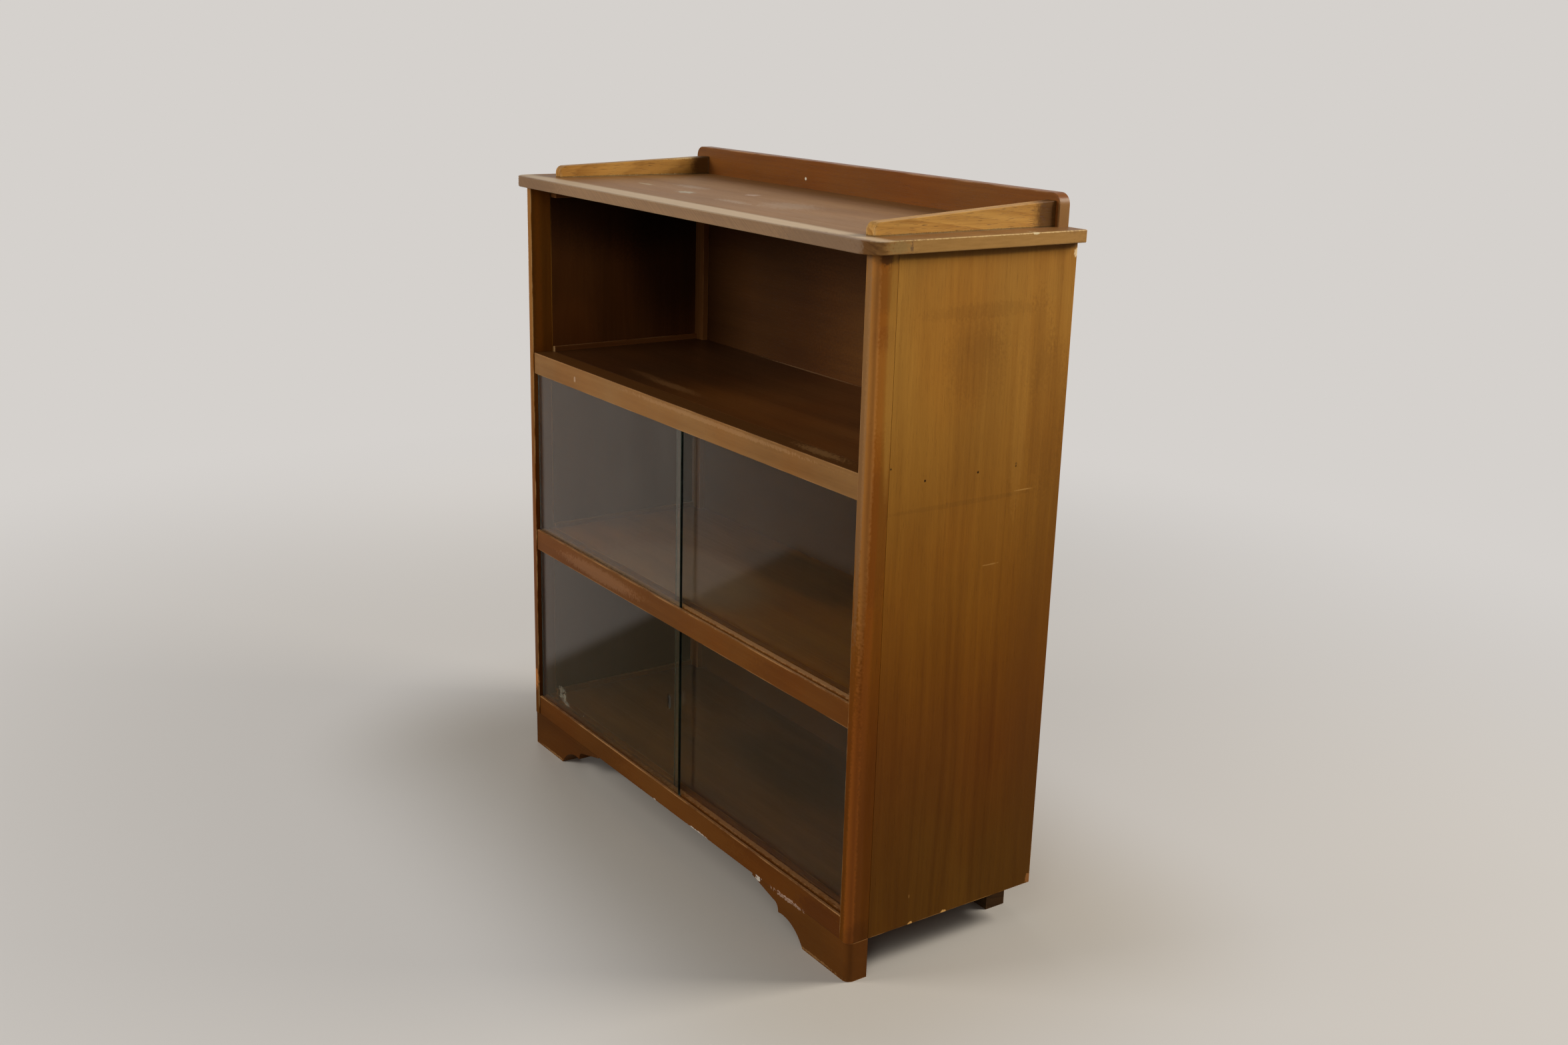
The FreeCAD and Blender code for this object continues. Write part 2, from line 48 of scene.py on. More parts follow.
def shade(red, green, blue):
    """A colour given on the 0 to 255 scale, made linear for the shader."""
    c = np.array([red, green, blue]) / 255.0
    c = np.where(c < 0.04045, c / 12.92, ((c + 0.055) / 1.055) ** 2.4)
    return (*c.tolist(), 1.0)


def arc(centre, radius, start, end, steps=10):
    """Points at centre + radius * (cos, sin) of an angle that runs evenly from start to end, in degrees."""
    turn = np.radians(np.linspace(start, end, steps))
    return np.stack([centre[0] + radius * np.cos(turn), centre[1] + radius * np.sin(turn)], 1)


def new_piece(name, points, faces, body):
    """A piece made of points and faces. It rides on a body."""
    mesh = bpy.data.meshes.new(name)
    mesh.from_pydata(points.tolist(), [], faces)
    mesh.shade_smooth()
    piece = bpy.data.objects.new(name, mesh)
    bpy.context.scene.collection.objects.link(piece)
    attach(piece, body)
    return piece


def planed(name, profile, along, stations, arris):
    """A flat profile carried straight along one axis. Point i of ring k is profile[i], or profile[k][i]
    where the profile changes on the way, at stations[k]. Each step of the profile gives one four-sided
    face between two rings, and one face closes each end. The arrises are then eased by a rounded bevel."""
    stations = np.asarray(stations, float)
    profile = np.asarray(profile, float)
    if profile.ndim == 2:
        profile = np.repeat(profile[None], len(stations), 0)
    first, second = profile[-1].T
    if np.sum(first * np.roll(second, -1) - np.roll(first, -1) * second) < 0:
        profile = profile[:, ::-1]
    rings, count = profile.shape[:2]
    order = {"x": (0, 1, 2), "y": (1, 2, 0), "z": (2, 0, 1)}[along]
    points = np.zeros((rings, count, 3))
    points[:, :, order[0]] = stations[:, None]
    points[:, :, order[1]] = profile[:, :, 0]
    points[:, :, order[2]] = profile[:, :, 1]
    i = np.arange(count)
    j = (i + 1) % count
    ring_starts = np.arange(rings - 1)[:, None, None] * count
    faces = (ring_starts + np.stack([i, j, j + count, i + count], 1)).reshape(-1, 4).tolist()
    faces += [i[::-1].tolist(), (i + (rings - 1) * count).tolist()]
    piece = new_piece(name, points.reshape(-1, 3), faces, "case")
    bevel = piece.modifiers.new("eased", "BEVEL")
    bevel.width = arris
    bevel.segments = 3
    bevel.limit_method = "ANGLE"
    bevel.angle_limit = np.radians(28)
    bevel.harden_normals = True
    return piece


def add(tree, kind, feeds=None, **settings):
    """Places one shader node. A feed is a plain value, or the output of another node."""
    placed = tree.nodes.new("ShaderNode" + kind)
    for key, value in settings.items():
        setattr(placed, key, value)
    for key, value in (feeds or {}).items():
        if isinstance(value, bpy.types.NodeSocket):
            tree.links.new(value, placed.inputs[key])
        else:
            placed.inputs[key].default_value = value
    return placed


def maths(tree, operation, *values, clamp=False):
    """One step of arithmetic on values or outputs."""
    return add(tree, "Math", dict(enumerate(values)), operation=operation, use_clamp=clamp).outputs[0]


def vectors(tree, operation, *values, out="Vector"):
    """One step of arithmetic on vectors. A length and a dot product come out under the name Value."""
    return add(tree, "VectorMath", dict(enumerate(values)), operation=operation).outputs[out]


def spread(tree, value, low, high, to_low=0.0, to_high=1.0):
    """Carries low to high onto to_low to to_high along a smooth S."""
    feeds = {"Value": value, "From Min": low, "From Max": high, "To Min": to_low, "To Max": to_high}
    return add(tree, "MapRange", feeds, interpolation_type="SMOOTHSTEP").outputs[0]


def cloud(tree, vector, stretch, detail=3.0, rough=0.55):
    """Noise of the vector times a stretch in each direction, in cells a metre."""
    scaled = vectors(tree, "MULTIPLY", vector, stretch)
    feeds = {"Vector": scaled, "Scale": 1.0, "Detail": detail, "Roughness": rough}
    return add(tree, "TexNoise", feeds).outputs[0]


def swayed(tree, base, noise, strength, clamp=False):
    """Base plus strength times how far the noise is from its middle, which is a half."""
    off_middle = maths(tree, "SUBTRACT", noise, 0.5)
    return maths(tree, "MULTIPLY_ADD", off_middle, strength, base, clamp=clamp)


def tinted(tree, factor, first, second, blend="MIX"):
    """First and second mixed by factor, or first multiplied by second, as far as factor says."""
    mix = add(tree, "Mix", {0: factor, 6: first, 7: second}, data_type="RGBA", blend_type=blend)
    return mix.outputs[2]


def new_group(name, inputs, outputs):
    """An empty shader node group with named sockets."""
    group = bpy.data.node_groups.new(name, "ShaderNodeTree")
    for label, (kind, value) in inputs.items():
        socket = group.interface.new_socket(label, in_out="INPUT", socket_type="NodeSocket" + kind)
        socket.default_value = value
    for label, kind in outputs.items():
        group.interface.new_socket(label, in_out="OUTPUT", socket_type="NodeSocket" + kind)
    return group, group.nodes.new("NodeGroupInput").outputs, group.nodes.new("NodeGroupOutput").inputs


def grain_group():
    """Timber cut from a log that lies along X. Growth is the fraction of distance from the pith times rings,
    raised to a power so that each ring ends in a dark line. Streak is noise of the distance from the pith,
    and fibre, pores and mottle are noise drawn out along X."""
    group, given, out = new_group(
        "grain",
        {"Vector": ("Vector", (0, 0, 0)), "Pith": ("Vector", (0, 0, 0)), "Lean": ("Float", 0.0),
         "Rings": ("Float", 150.0), "Wander": ("Float", 0.02)},
        {"Growth": "Float", "Streak": "Float", "Fibre": "Float", "Pores": "Float", "Mottle": "Float"})
    vector = given["Vector"]
    drift = maths(group, "SUBTRACT", cloud(group, vector, (2.2, 9, 9), 2.0), 0.5)
    drift = maths(group, "MULTIPLY", drift, given["Wander"])
    parts = add(group, "SeparateXYZ", {0: vectors(group, "SUBTRACT", vector, given["Pith"])}).outputs
    across = maths(group, "ADD", parts["Y"], drift)
    through = maths(group, "MULTIPLY_ADD", parts["X"], given["Lean"], parts["Z"])
    through = maths(group, "ADD", through, drift)
    from_pith = add(group, "CombineXYZ", {1: across, 2: through}).outputs[0]
    radius = vectors(group, "LENGTH", from_pith, out="Value")
    ripple = maths(group, "SUBTRACT", cloud(group, vector, (7, 70, 70), 2.0), 0.5)
    phase = maths(group, "MULTIPLY_ADD", radius, given["Rings"], ripple)
    part = maths(group, "FRACT", phase)
    ring = maths(group, "FLOOR", phase)
    chance = add(group, "TexWhiteNoise", {"W": ring}, noise_dimensions="1D").outputs["Value"]
    line = maths(group, "MULTIPLY", maths(group, "POWER", part, 2.2), spread(group, part, 1.0, 0.86))
    strength = maths(group, "MULTIPLY_ADD", chance, 0.8, 0.3)
    group.links.new(maths(group, "MULTIPLY", line, strength), out["Growth"])
    beside = maths(group, "MULTIPLY", across, 0.15)
    drawn = add(group, "CombineXYZ", {0: parts["X"], 1: radius, 2: beside}).outputs[0]
    group.links.new(cloud(group, drawn, (1.1, 75, 40), 3.0, 0.5), out["Streak"])
    group.links.new(cloud(group, vector, (5, 330, 330), 4.0, 0.6), out["Fibre"])
    pores = spread(group, cloud(group, vector, (55, 1300, 1300), 1.0), 0.62, 0.72)
    group.links.new(pores, out["Pores"])
    group.links.new(cloud(group, vector, (3.0, 11, 11), 4.0, 0.6), out["Mottle"])
    return group


def wear_group():
    """How worn a point of a board is. On a board's surface the least of the three distances to the faces
    is nought, and the middle one is how far the nearest arris is; wear fades with it, broken by noise."""
    group, given, out = new_group(
        "arris wear",
        {"Vector": ("Vector", (0, 0, 0)), "Low": ("Vector", (0, 0, 0)), "High": ("Vector", (1, 1, 1)),
         "Width": ("Float", 0.002), "Patch": ("Float", 30.0)},
        {"Worn": "Float", "Distance": "Float"})
    vector = given["Vector"]
    below = add(group, "SeparateXYZ", {0: vectors(group, "SUBTRACT", vector, given["Low"])}).outputs
    above = add(group, "SeparateXYZ", {0: vectors(group, "SUBTRACT", given["High"], vector)}).outputs
    a, b, c = [maths(group, "MINIMUM", below[k], above[k]) for k in "XYZ"]
    inner = maths(group, "MINIMUM", maths(group, "MAXIMUM", a, b), c)
    middle = maths(group, "MAXIMUM", maths(group, "MINIMUM", a, b), inner)
    coarse = add(group, "TexNoise", {"Vector": vector, "Scale": given["Patch"], "Detail": 4.0}).outputs[0]
    fine = add(group, "TexNoise", {"Vector": vector, "Scale": 420.0, "Detail": 2.0}).outputs[0]
    reach = maths(group, "MULTIPLY", given["Width"], maths(group, "MULTIPLY_ADD", fine, 1.2, 0.4))
    near = maths(group, "SUBTRACT", 1.0, maths(group, "DIVIDE", middle, reach), clamp=True)
    broken = spread(group, coarse, 0.38, 0.62)
    group.links.new(maths(group, "MULTIPLY", near, broken, clamp=True), out["Worn"])
    group.links.new(middle, out["Distance"])
    return group


def mark_group():
    """A mark of a given half size round a centre: one minus the distance from the centre, counted in half
    sizes and made ragged by noise."""
    group, given, out = new_group(
        "mark",
        {"Vector": ("Vector", (0, 0, 0)), "Centre": ("Vector", (0, 0, 0)), "Half": ("Vector", (1, 1, 1)),
         "Ragged": ("Float", 0.6)},
        {"Mask": "Float"})
    gap = vectors(group, "SUBTRACT", given["Vector"], given["Centre"])
    far = vectors(group, "LENGTH", vectors(group, "DIVIDE", gap, given["Half"]), out="Value")
    rough = add(group, "TexNoise", {"Vector": given["Vector"], "Scale": 260.0, "Detail": 3.0}).outputs[0]
    far = swayed(group, far, rough, maths(group, "MULTIPLY", given["Ragged"], 3.0))
    group.links.new(spread(group, far, 1.0, 0.55), out["Mask"])
    return group


GRAIN, WEAR, MARK = grain_group(), wear_group(), mark_group()


def shared(tree, group, **feeds):
    """A shared group placed in a material with its own values. Gives its outputs."""
    return add(tree, "Group", feeds, node_tree=group).outputs


def marked(tree, place, centre, half, ragged):
    """Where a mark lies, from 0 to 1."""
    return shared(tree, MARK, Vector=place, Centre=centre, Half=half, Ragged=ragged)["Mask"]


def new_material(name):
    """A material, its node tree, its shader and the object's own coordinates in it."""
    made = bpy.data.materials.new(name)
    made.use_nodes = True
    tree = made.node_tree
    return made, tree, tree.nodes["Principled BSDF"], add(tree, "TexCoord").outputs["Object"]


def coat(piece, material):
    """Gives a piece one material in place of any that it had."""
    piece.data.materials.clear()
    piece.data.materials.append(material)


def figured(tree, axes, grain, pith, lean=0.0, rings=150.0, wander=0.02, ringed=0.5, streaked=0.4,
            fibred=0.3, mottled=0.5):
    """The figure of a board: what the grain group gives, and how dark it makes each point, from 0 to 1. grain
    names the axes along, across and through the board."""
    turned = add(tree, "CombineXYZ", {i: axes[k.upper()] for i, k in enumerate(grain)}).outputs[0]
    wood = shared(tree, GRAIN, Vector=turned, Pith=pith, Lean=lean, Rings=rings, Wander=wander)
    tone = maths(tree, "MULTIPLY_ADD", wood["Growth"], ringed, 0.45)
    tone = swayed(tree, tone, wood["Streak"], 2 * streaked)
    tone = swayed(tree, tone, wood["Fibre"], fibred)
    tone = swayed(tree, tone, wood["Mottle"], 2 * mottled, clamp=True)
    return wood, tone


def timber(node, tones, grain, pith, piece=None, box=None, marks=(), inside=None, low_shade=None, slanted=0.0,
           warmed=0.5, pored=0.25, wear=0.0022, patch=26.0, gloss=0.42, shine=0.1, **figure):
    """Stained and varnished wood for a node, or for the piece that replaces it. tones are the light, the dark
    and the worn colour. The arrises of the box are worn. Each mark has a centre, a half size, a colour, a
    strength and a raggedness; some marks are stains, chips and wear, and some are painted light and shade.
    inside is a distance from the middle of the case, and a colour that multiplies the faces nearer than it:
    painted shade inside the case. low_shade multiplies the red, green and blue at the floor and fades out
    towards the top of the case: painted shade, darker and redder low down. slanted is how strong the short
    grain is that slopes across a sawn edge, and warmed how far patches of the varnish go orange."""
    light, dark, worn = tones
    low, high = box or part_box(node)
    made, tree, shader, place = new_material(node + " wood")
    axes = add(tree, "SeparateXYZ", {0: place}).outputs
    wood, tone = figured(tree, axes, grain, pith, **figure)
    edge = shared(tree, WEAR, Vector=place, Low=low, High=high, Width=wear, Patch=patch)
    if slanted:
        slope = maths(tree, "MULTIPLY_ADD", axes["Z"], 1.6, axes["X"])
        slope = add(tree, "CombineXYZ", {0: slope, 1: axes["Y"]}).outputs[0]
        sawn_edge = spread(tree, axes["Z"], high.z - 0.0004, high.z - 0.0014, 0.0, slanted)
        tone = swayed(tree, tone, cloud(tree, slope, (230, 40, 1), 4.0), sawn_edge, clamp=True)

    # Stain, amber patches and pores, then painted shade low down and inside, wear and marks on top.
    colour = tinted(tree, tone, light, dark)
    amber = spread(tree, cloud(tree, place, (5.5, 5.5, 3.0), 3.0), 0.35, 0.7, 0.0, warmed)
    colour = tinted(tree, amber, colour, (1.05, 0.80, 0.45, 1.0), "MULTIPLY")
    deep = tuple(0.42 * c for c in dark[:3]) + (1.0,)
    colour = tinted(tree, maths(tree, "MULTIPLY", wood["Pores"], pored), colour, deep)
    # Painted shade: darker and redder towards the floor.
    if low_shade:
        low_shading = {key: spread(tree, axes["Z"], start, 1.05, value)
                for key, start, value in zip(("Red", "Green", "Blue"), (0.1, 0.25, 0.4), low_shade)}
        colour = tinted(tree, 1.0, colour, add(tree, "CombineColor", low_shading).outputs[0], "MULTIPLY")
    # Painted shade on the faces inside the case.
    if inside:
        reach, tint = inside
        inward = spread(tree, maths(tree, "ABSOLUTE", axes["X"]), reach, reach - 0.0004)
        colour = tinted(tree, inward, colour, (*tint, 1.0), "MULTIPLY")
    colour = tinted(tree, maths(tree, "MULTIPLY", edge["Worn"], 0.85), colour, worn)
    for centre, half, paint, strength, ragged in marks:
        mask = marked(tree, place, centre, half, ragged)
        colour = tinted(tree, maths(tree, "MULTIPLY", mask, strength), colour, paint)
    tree.links.new(colour, shader.inputs["Base Color"])

    # The varnish is duller along the fibres, in patches and where it is worn, and has sunk into the pores.
    rub = swayed(tree, swayed(tree, gloss, wood["Fibre"], 0.16), wood["Mottle"], 0.12)
    tree.links.new(maths(tree, "MULTIPLY_ADD", edge["Worn"], 0.2, rub), shader.inputs["Roughness"])
    lift = maths(tree, "SUBTRACT", maths(tree, "MULTIPLY", wood["Fibre"], 0.6), wood["Pores"])
    lift = maths(tree, "SUBTRACT", lift, maths(tree, "MULTIPLY", edge["Worn"], 0.8))
    bump = add(tree, "Bump", {"Height": lift, "Strength": 0.35, "Distance": 0.0003})
    tree.links.new(bump.outputs[0], shader.inputs["Normal"])
    shader.inputs["Specular IOR Level"].default_value = shine
    coat(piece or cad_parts[node], made)


stile_low, stile_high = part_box("right_front_stile")
side_x = stile_high.x
stile_inner = stile_low.x + 0.0005  # what lies nearer the middle than this is the face inside the case
nose_x, nose_y = side_x - 0.0015, -0.1590
stile_tones = shade(174, 119, 47), shade(126, 78, 25), shade(190, 146, 92)
rust = shade(152, 82, 18)
stile_marks = {
    "left": [
        ((-side_x, -0.1490, 0.780), (0.030, 0.0125, 0.620), rust, 0.45, 0.12),
        # Painted highlight along the rounded nose, partly rubbed varnish.
        ((-nose_x, nose_y, 0.600), (0.011, 0.0110, 0.600), shade(200, 152, 96), 0.22, 0.2),
        ((-0.466, -0.1605, 0.128), (0.010, 0.0100, 0.026), shade(196, 124, 62), 0.80, 0.4),
    ],
    "right": [
        ((side_x, -0.1490, 0.780), (0.030, 0.0125, 0.620), rust, 0.55, 0.12),
        # Painted shade: the soft lower edge of the shadow under the top board's overhang.
        ((side_x, -0.1425, 0.955), (0.020, 0.0300, 0.035), shade(104, 66, 24), 0.30, 0.3),
        ((side_x, -0.1490, 0.060), (0.030, 0.0125, 0.550), shade(114, 62, 18), 0.50, 0.12),
        ((side_x, -0.1400, 0.895), (0.020, 0.0200, 0.020), shade(120, 62, 20), 0.30, 0.4),
        # Painted shadow under the overhang of the top board.
        ((side_x, -0.1400, 0.997), (0.020, 0.0300, 0.013), shade(44, 26, 12), 0.70, 0.25),
        ((side_x, -0.1425, 0.830), (0.020, 0.0300, 0.080), shade(178, 120, 48), 0.30, 0.3),
        ((side_x, -0.1425, 0.640), (0.020, 0.0300, 0.120), shade(92, 44, 10), 0.30, 0.2),
        # Painted highlight along the rounded nose, partly rubbed varnish, then a painted reflection on the
        # front face.
        ((nose_x, nose_y, 0.800), (0.011, 0.0110, 0.420), shade(206, 142, 74), 0.38, 0.2),
        ((nose_x, nose_y, 0.100), (0.011, 0.0110, 0.500), shade(176, 98, 34), 0.38, 0.2),
        ((0.463, -0.1605, 0.800), (0.0085, 0.0016, 0.360), shade(134, 106, 76), 0.45, 0.2),
        ((side_x, -0.1425, 0.060), (0.020, 0.0300, 0.040), shade(60, 32, 10), 0.30, 0.2),
        ((side_x, -0.1300, 0.860), (0.020, 0.0085, 0.200), shade(178, 130, 56), 0.50, 0.1),
    ],
}
nose = 0.009
behind = 0.3  # past the joint with the panel, which isn't worn
for side, sign, sweep in (("left", -1, (180, 270)), ("right", 1, (0, -90))):
    node = side + "_front_stile"
    low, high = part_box(node)
    outer, inner = (low.x, high.x) if sign < 0 else (high.x, low.x)
    curve = arc((outer - sign * nose, low.y + nose), nose, *sweep)
    profile = np.vstack([curve, [(inner, low.y), (inner, high.y), (outer, high.y)]])
    stile = planed(side + "_stile", profile, "z", (low.z, high.z), 0.0012)
    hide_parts(node)
    # The stile is painted darker towards the floor and on its face inside the case, as shade.
    timber(node, stile_tones, "zyx", (0.4, -0.05 * sign, 0.62 * sign), stile, rings=60, ringed=0.15,
           streaked=0.3, low_shade=(0.41, 0.325, 0.11), inside=(stile_inner, (0.55, 0.48, 0.45)),
           marks=stile_marks[side], wear=0.002, gloss=0.38, shine=0.11, box=(low, (high.x, behind, high.z)))


# ---- Side panels --------------------------------------------------------------------------
# Veneered boards behind the stiles, grain upright with a flame near the foot. Panel pins are
# punched through them into the shelf bearer, and the bottom arris is chipped where it was dragged.

panel_tones = shade(184, 134, 58), shade(138, 92, 34), shade(196, 142, 76)
chip, pin_head, scratch = shade(226, 172, 96), shade(40, 24, 8), shade(206, 156, 84)
ledge, blotch, painted_shade_dark = shade(84, 52, 18), shade(108, 68, 24), shade(14, 9, 6)
panel_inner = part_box("right_side_panel")[0].x + 0.0015
panel_marks = {
    "left": [
        # Painted shade high up inside the case, under the top board, and a painted pool of light lower down
        # at the front.
        ((-panel_inner, 0.02, 1.00), (0.004, 0.30, 0.16), painted_shade_dark, 0.72, 0.05),
        ((-panel_inner, 0.12, 0.90), (0.004, 0.14, 0.22), shade(14, 9, 7), 0.60, 0.05),
        ((-panel_inner, -0.09, 0.75), (0.004, 0.07, 0.09), shade(150, 80, 30), 0.12, 0.1),
    ],
    "right": [
        ((side_x, -0.1225, 0.7280), (0.01, 0.0016, 0.0016), pin_head, 0.90, 0.1),
        ((side_x, -0.0655, 0.7055), (0.01, 0.0022, 0.0022), pin_head, 0.75, 0.1),
        ((side_x, 0.0245, 0.7055), (0.01, 0.0022, 0.0022), pin_head, 0.75, 0.1),
        ((side_x, 0.0915, 0.7090), (0.01, 0.0022, 0.0022), pin_head, 0.60, 0.1),
        ((side_x, 0.0000, 0.6670), (0.01, 0.1700, 0.0045), ledge, 0.15, 0.3),
        ((side_x, 0.0200, 0.9200), (0.01, 0.1300, 0.0120), ledge, 0.12, 0.6),
        # Painted shadow under the overhang of the top board.
        ((side_x, 0.0200, 0.9980), (0.01, 0.3000, 0.0100), shade(52, 32, 14), 0.60, 0.05),
        ((side_x, 0.2000, 0.4200), (0.01, 0.1200, 0.5000), shade(92, 54, 18), 0.42, 0.05),
        ((side_x, 0.0100, 0.8600), (0.01, 0.0600, 0.0700), blotch, 0.14, 0.6),
        ((side_x, 0.0200, 0.8720), (0.01, 0.0350, 0.0260), blotch, 0.12, 0.8),
        ((side_x, 0.1150, 0.8680), (0.01, 0.0340, 0.0850), blotch, 0.16, 0.5),
        ((side_x, 0.1400, 0.7700), (0.01, 0.0450, 0.1300), shade(108, 66, 24), 0.20, 0.3),
        ((side_x, 0.0920, 0.7900), (0.01, 0.0170, 0.1800), shade(206, 152, 68), 0.12, 0.2),
        ((side_x, 0.1085, 0.6710), (0.01, 0.0210, 0.0010), scratch, 0.45, 0.3),
        ((side_x, 0.0570, 0.5730), (0.01, 0.0180, 0.0010), scratch, 0.35, 0.4),
        ((side_x, -0.0505, 0.0605), (0.01, 0.0045, 0.0035), chip, 1.00, 0.5),
        ((side_x, 0.0105, 0.0605), (0.01, 0.0055, 0.0035), chip, 1.00, 0.5),
        ((side_x, 0.1705, 0.0680), (0.01, 0.0060, 0.0080), shade(160, 104, 54), 0.90, 0.6),
        ((side_x, -0.0550, 0.1040), (0.01, 0.0020, 0.0040), shade(150, 104, 50), 0.50, 0.5),
        ((side_x, 0.1745, 0.9870), (0.006, 0.0060, 0.0080), shade(244, 214, 164), 0.90, 0.5),
    ],
}
for side, sign in (("left", -1), ("right", 1)):
    node = side + "_side_panel"
    low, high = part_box(node)
    # Only the outer arrises behind and below are worn, so the box goes past the other ones.
    worn_left, worn_right = (low.x, -0.4) if sign < 0 else (0.4, high.x)
    box = ((worn_left, -0.3, low.z), (worn_right, high.y, 1.2))
    # The panel is painted darker towards the floor and much darker on its face inside the case, as shade.
    timber(node, panel_tones, "zyx", (0.25, -0.075, 0.464 * sign), box=box, marks=panel_marks[side],
           lean=-0.055 * sign, rings=45, wander=0.03, ringed=0.12, streaked=0.45, fibred=0.5, mottled=0.5,
           pored=0.2, warmed=0.4, low_shade=(0.32, 0.26, 0.12), inside=(panel_inner, (0.30, 0.235, 0.38)),
           wear=0.0011, gloss=0.46)


# ---- Pins ---------------------------------------------------------------------------------
# Steel panel pins, gone dull. They are driven through the side panels into the bearers of the upper
# shelf, and punched just below the veneer.

steel, tree, shader, place = new_material("punched pin steel")
tarnish = cloud(tree, place, (900, 900, 900), 3.0)
tree.links.new(tinted(tree, tarnish, shade(96, 90, 84), shade(48, 36, 26)), shader.inputs["Base Color"])
tree.links.new(spread(tree, tarnish, 0.3, 0.7, 0.35, 0.7), shader.inputs["Roughness"])
shader.inputs["Metallic"].default_value = 0.9
for side in ("left", "right"):
    coat(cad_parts[side + "_panel_pins"], steel)


# ---- Rails --------------------------------------------------------------------------------
# Three solid rails between the stiles. The door grooves are ploughed along them: shallow ones
# below the glass and deeper ones above it, so that a pane can be lifted out.

front_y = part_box("upper_rail")[0].y
front_groove, rear_groove = (-0.1535, -0.1485), (-0.1395, -0.1345)
shallow, deep = 0.005, 0.010
# The lower rails' darker tones are painted shade.
rail_tones = {
    "upper": (shade(158, 116, 68), shade(120, 82, 42)),
    "middle": (shade(130, 80, 30), shade(94, 52, 14)),
    "bottom": (shade(116, 68, 20), shade(82, 44, 10)),
}
rail_worn = shade(196, 146, 92)
white_chip, pale_scuff = shade(226, 216, 200), shade(206, 176, 156)
worn_land = shade(176, 130, 82)
rail_marks = {
    "upper": [
        ((-0.310, front_y, 0.7030), (0.004, 0.0100, 0.0060), shade(206, 176, 146), 0.50, 0.7),
        ((0.100, front_y, 0.7160), (0.300, 0.0100, 0.0040), shade(196, 152, 106), 0.25, 0.6),
        ((0.000, -0.1390, 0.7232), (2.000, 0.0350, 0.0012), shade(84, 50, 20), 0.92, 0.05),
        ((0.345, -0.1370, 0.7230), (0.060, 0.0120, 0.0030), shade(160, 118, 72), 0.55, 1.0),
    ],
    "middle": [
        ((-0.230, front_y, 0.3900), (0.160, 0.0100, 0.0140), shade(160, 114, 78), 0.38, 0.4),
        ((0.360, front_y, 0.3880), (0.170, 0.0100, 0.0300), shade(78, 40, 14), 0.30, 0.3),
        ((0.200, -0.1440, 0.4090), (1.200, 0.0060, 0.0030), worn_land, 0.70, 0.5),
        ((0.200, -0.1560, 0.4090), (1.200, 0.0024, 0.0020), worn_land, 0.60, 0.7),
    ],
    "bottom": [
        ((0.220, -0.1440, 0.0950), (0.400, 0.0060, 0.0030), worn_land, 0.35, 0.9),
        ((0.200, -0.1560, 0.0950), (1.200, 0.0024, 0.0020), worn_land, 0.35, 1.0),
        ((0.020, front_y, 0.0780), (0.240, 0.0100, 0.0240), shade(124, 76, 28), 0.35, 0.4),
        ((0.410, front_y, 0.0700), (0.070, 0.0100, 0.0300), shade(78, 36, 16), 0.45, 0.4),
        ((-0.048, front_y, 0.0605), (0.004, 0.0100, 0.0022), white_chip, 0.90, 0.6),
        ((0.088, front_y, 0.0605), (0.030, 0.0100, 0.0020), white_chip, 0.80, 1.0),
        ((0.254, front_y, 0.0605), (0.008, 0.0100, 0.0030), white_chip, 0.90, 0.8),
        ((0.330, front_y, 0.0610), (0.036, 0.0100, 0.0024), pale_scuff, 0.60, 1.3),
    ],
}
for level, tones in rail_tones.items():
    node = level + "_rail"
    low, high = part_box(node)
    profile = [(low.y, low.z), (low.y, high.z)]
    if level != "upper":
        for start, end in (front_groove, rear_groove):
            profile += [(start, high.z), (start, high.z - shallow), (end, high.z - shallow), (end, high.z)]
    profile += [(high.y, high.z), (high.y, low.z)]
    if level != "bottom":
        for start, end in (rear_groove, front_groove):
            profile += [(end, low.z), (end, low.z + deep), (start, low.z + deep), (start, low.z)]
    rail = planed(level + "_front_rail", profile, "x", (low.x, high.x), 0.0008)
    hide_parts(node)
    half_way = (low.z + high.z) / 2
    # Painted shade where each rail meets the stile that stands proud of it.
    corners = [((sign * 0.4562, front_y, half_way), (0.0022, 0.03, 0.1), shade(56, 26, 10), 0.6, 0.1)
               for sign in (-1, 1)]
    worn_from = -0.1 if level == "bottom" else low.z
    timber(node, (*tones, rail_worn), "xzy", (0.1, 0.02, 0.25), rail, rings=60, ringed=0.15, fibred=0.3,
           streaked=0.3, mottled=0.7, wear=0.0019, patch=14, gloss=0.40, marks=rail_marks[level] + corners,
           box=((low.x, low.y, worn_from), high))


# ---- Shelves ------------------------------------------------------------------------------
# Veneered boards behind the rails, resting on bearers pinned to the side panels. A small bead
# covers the joint at each end.

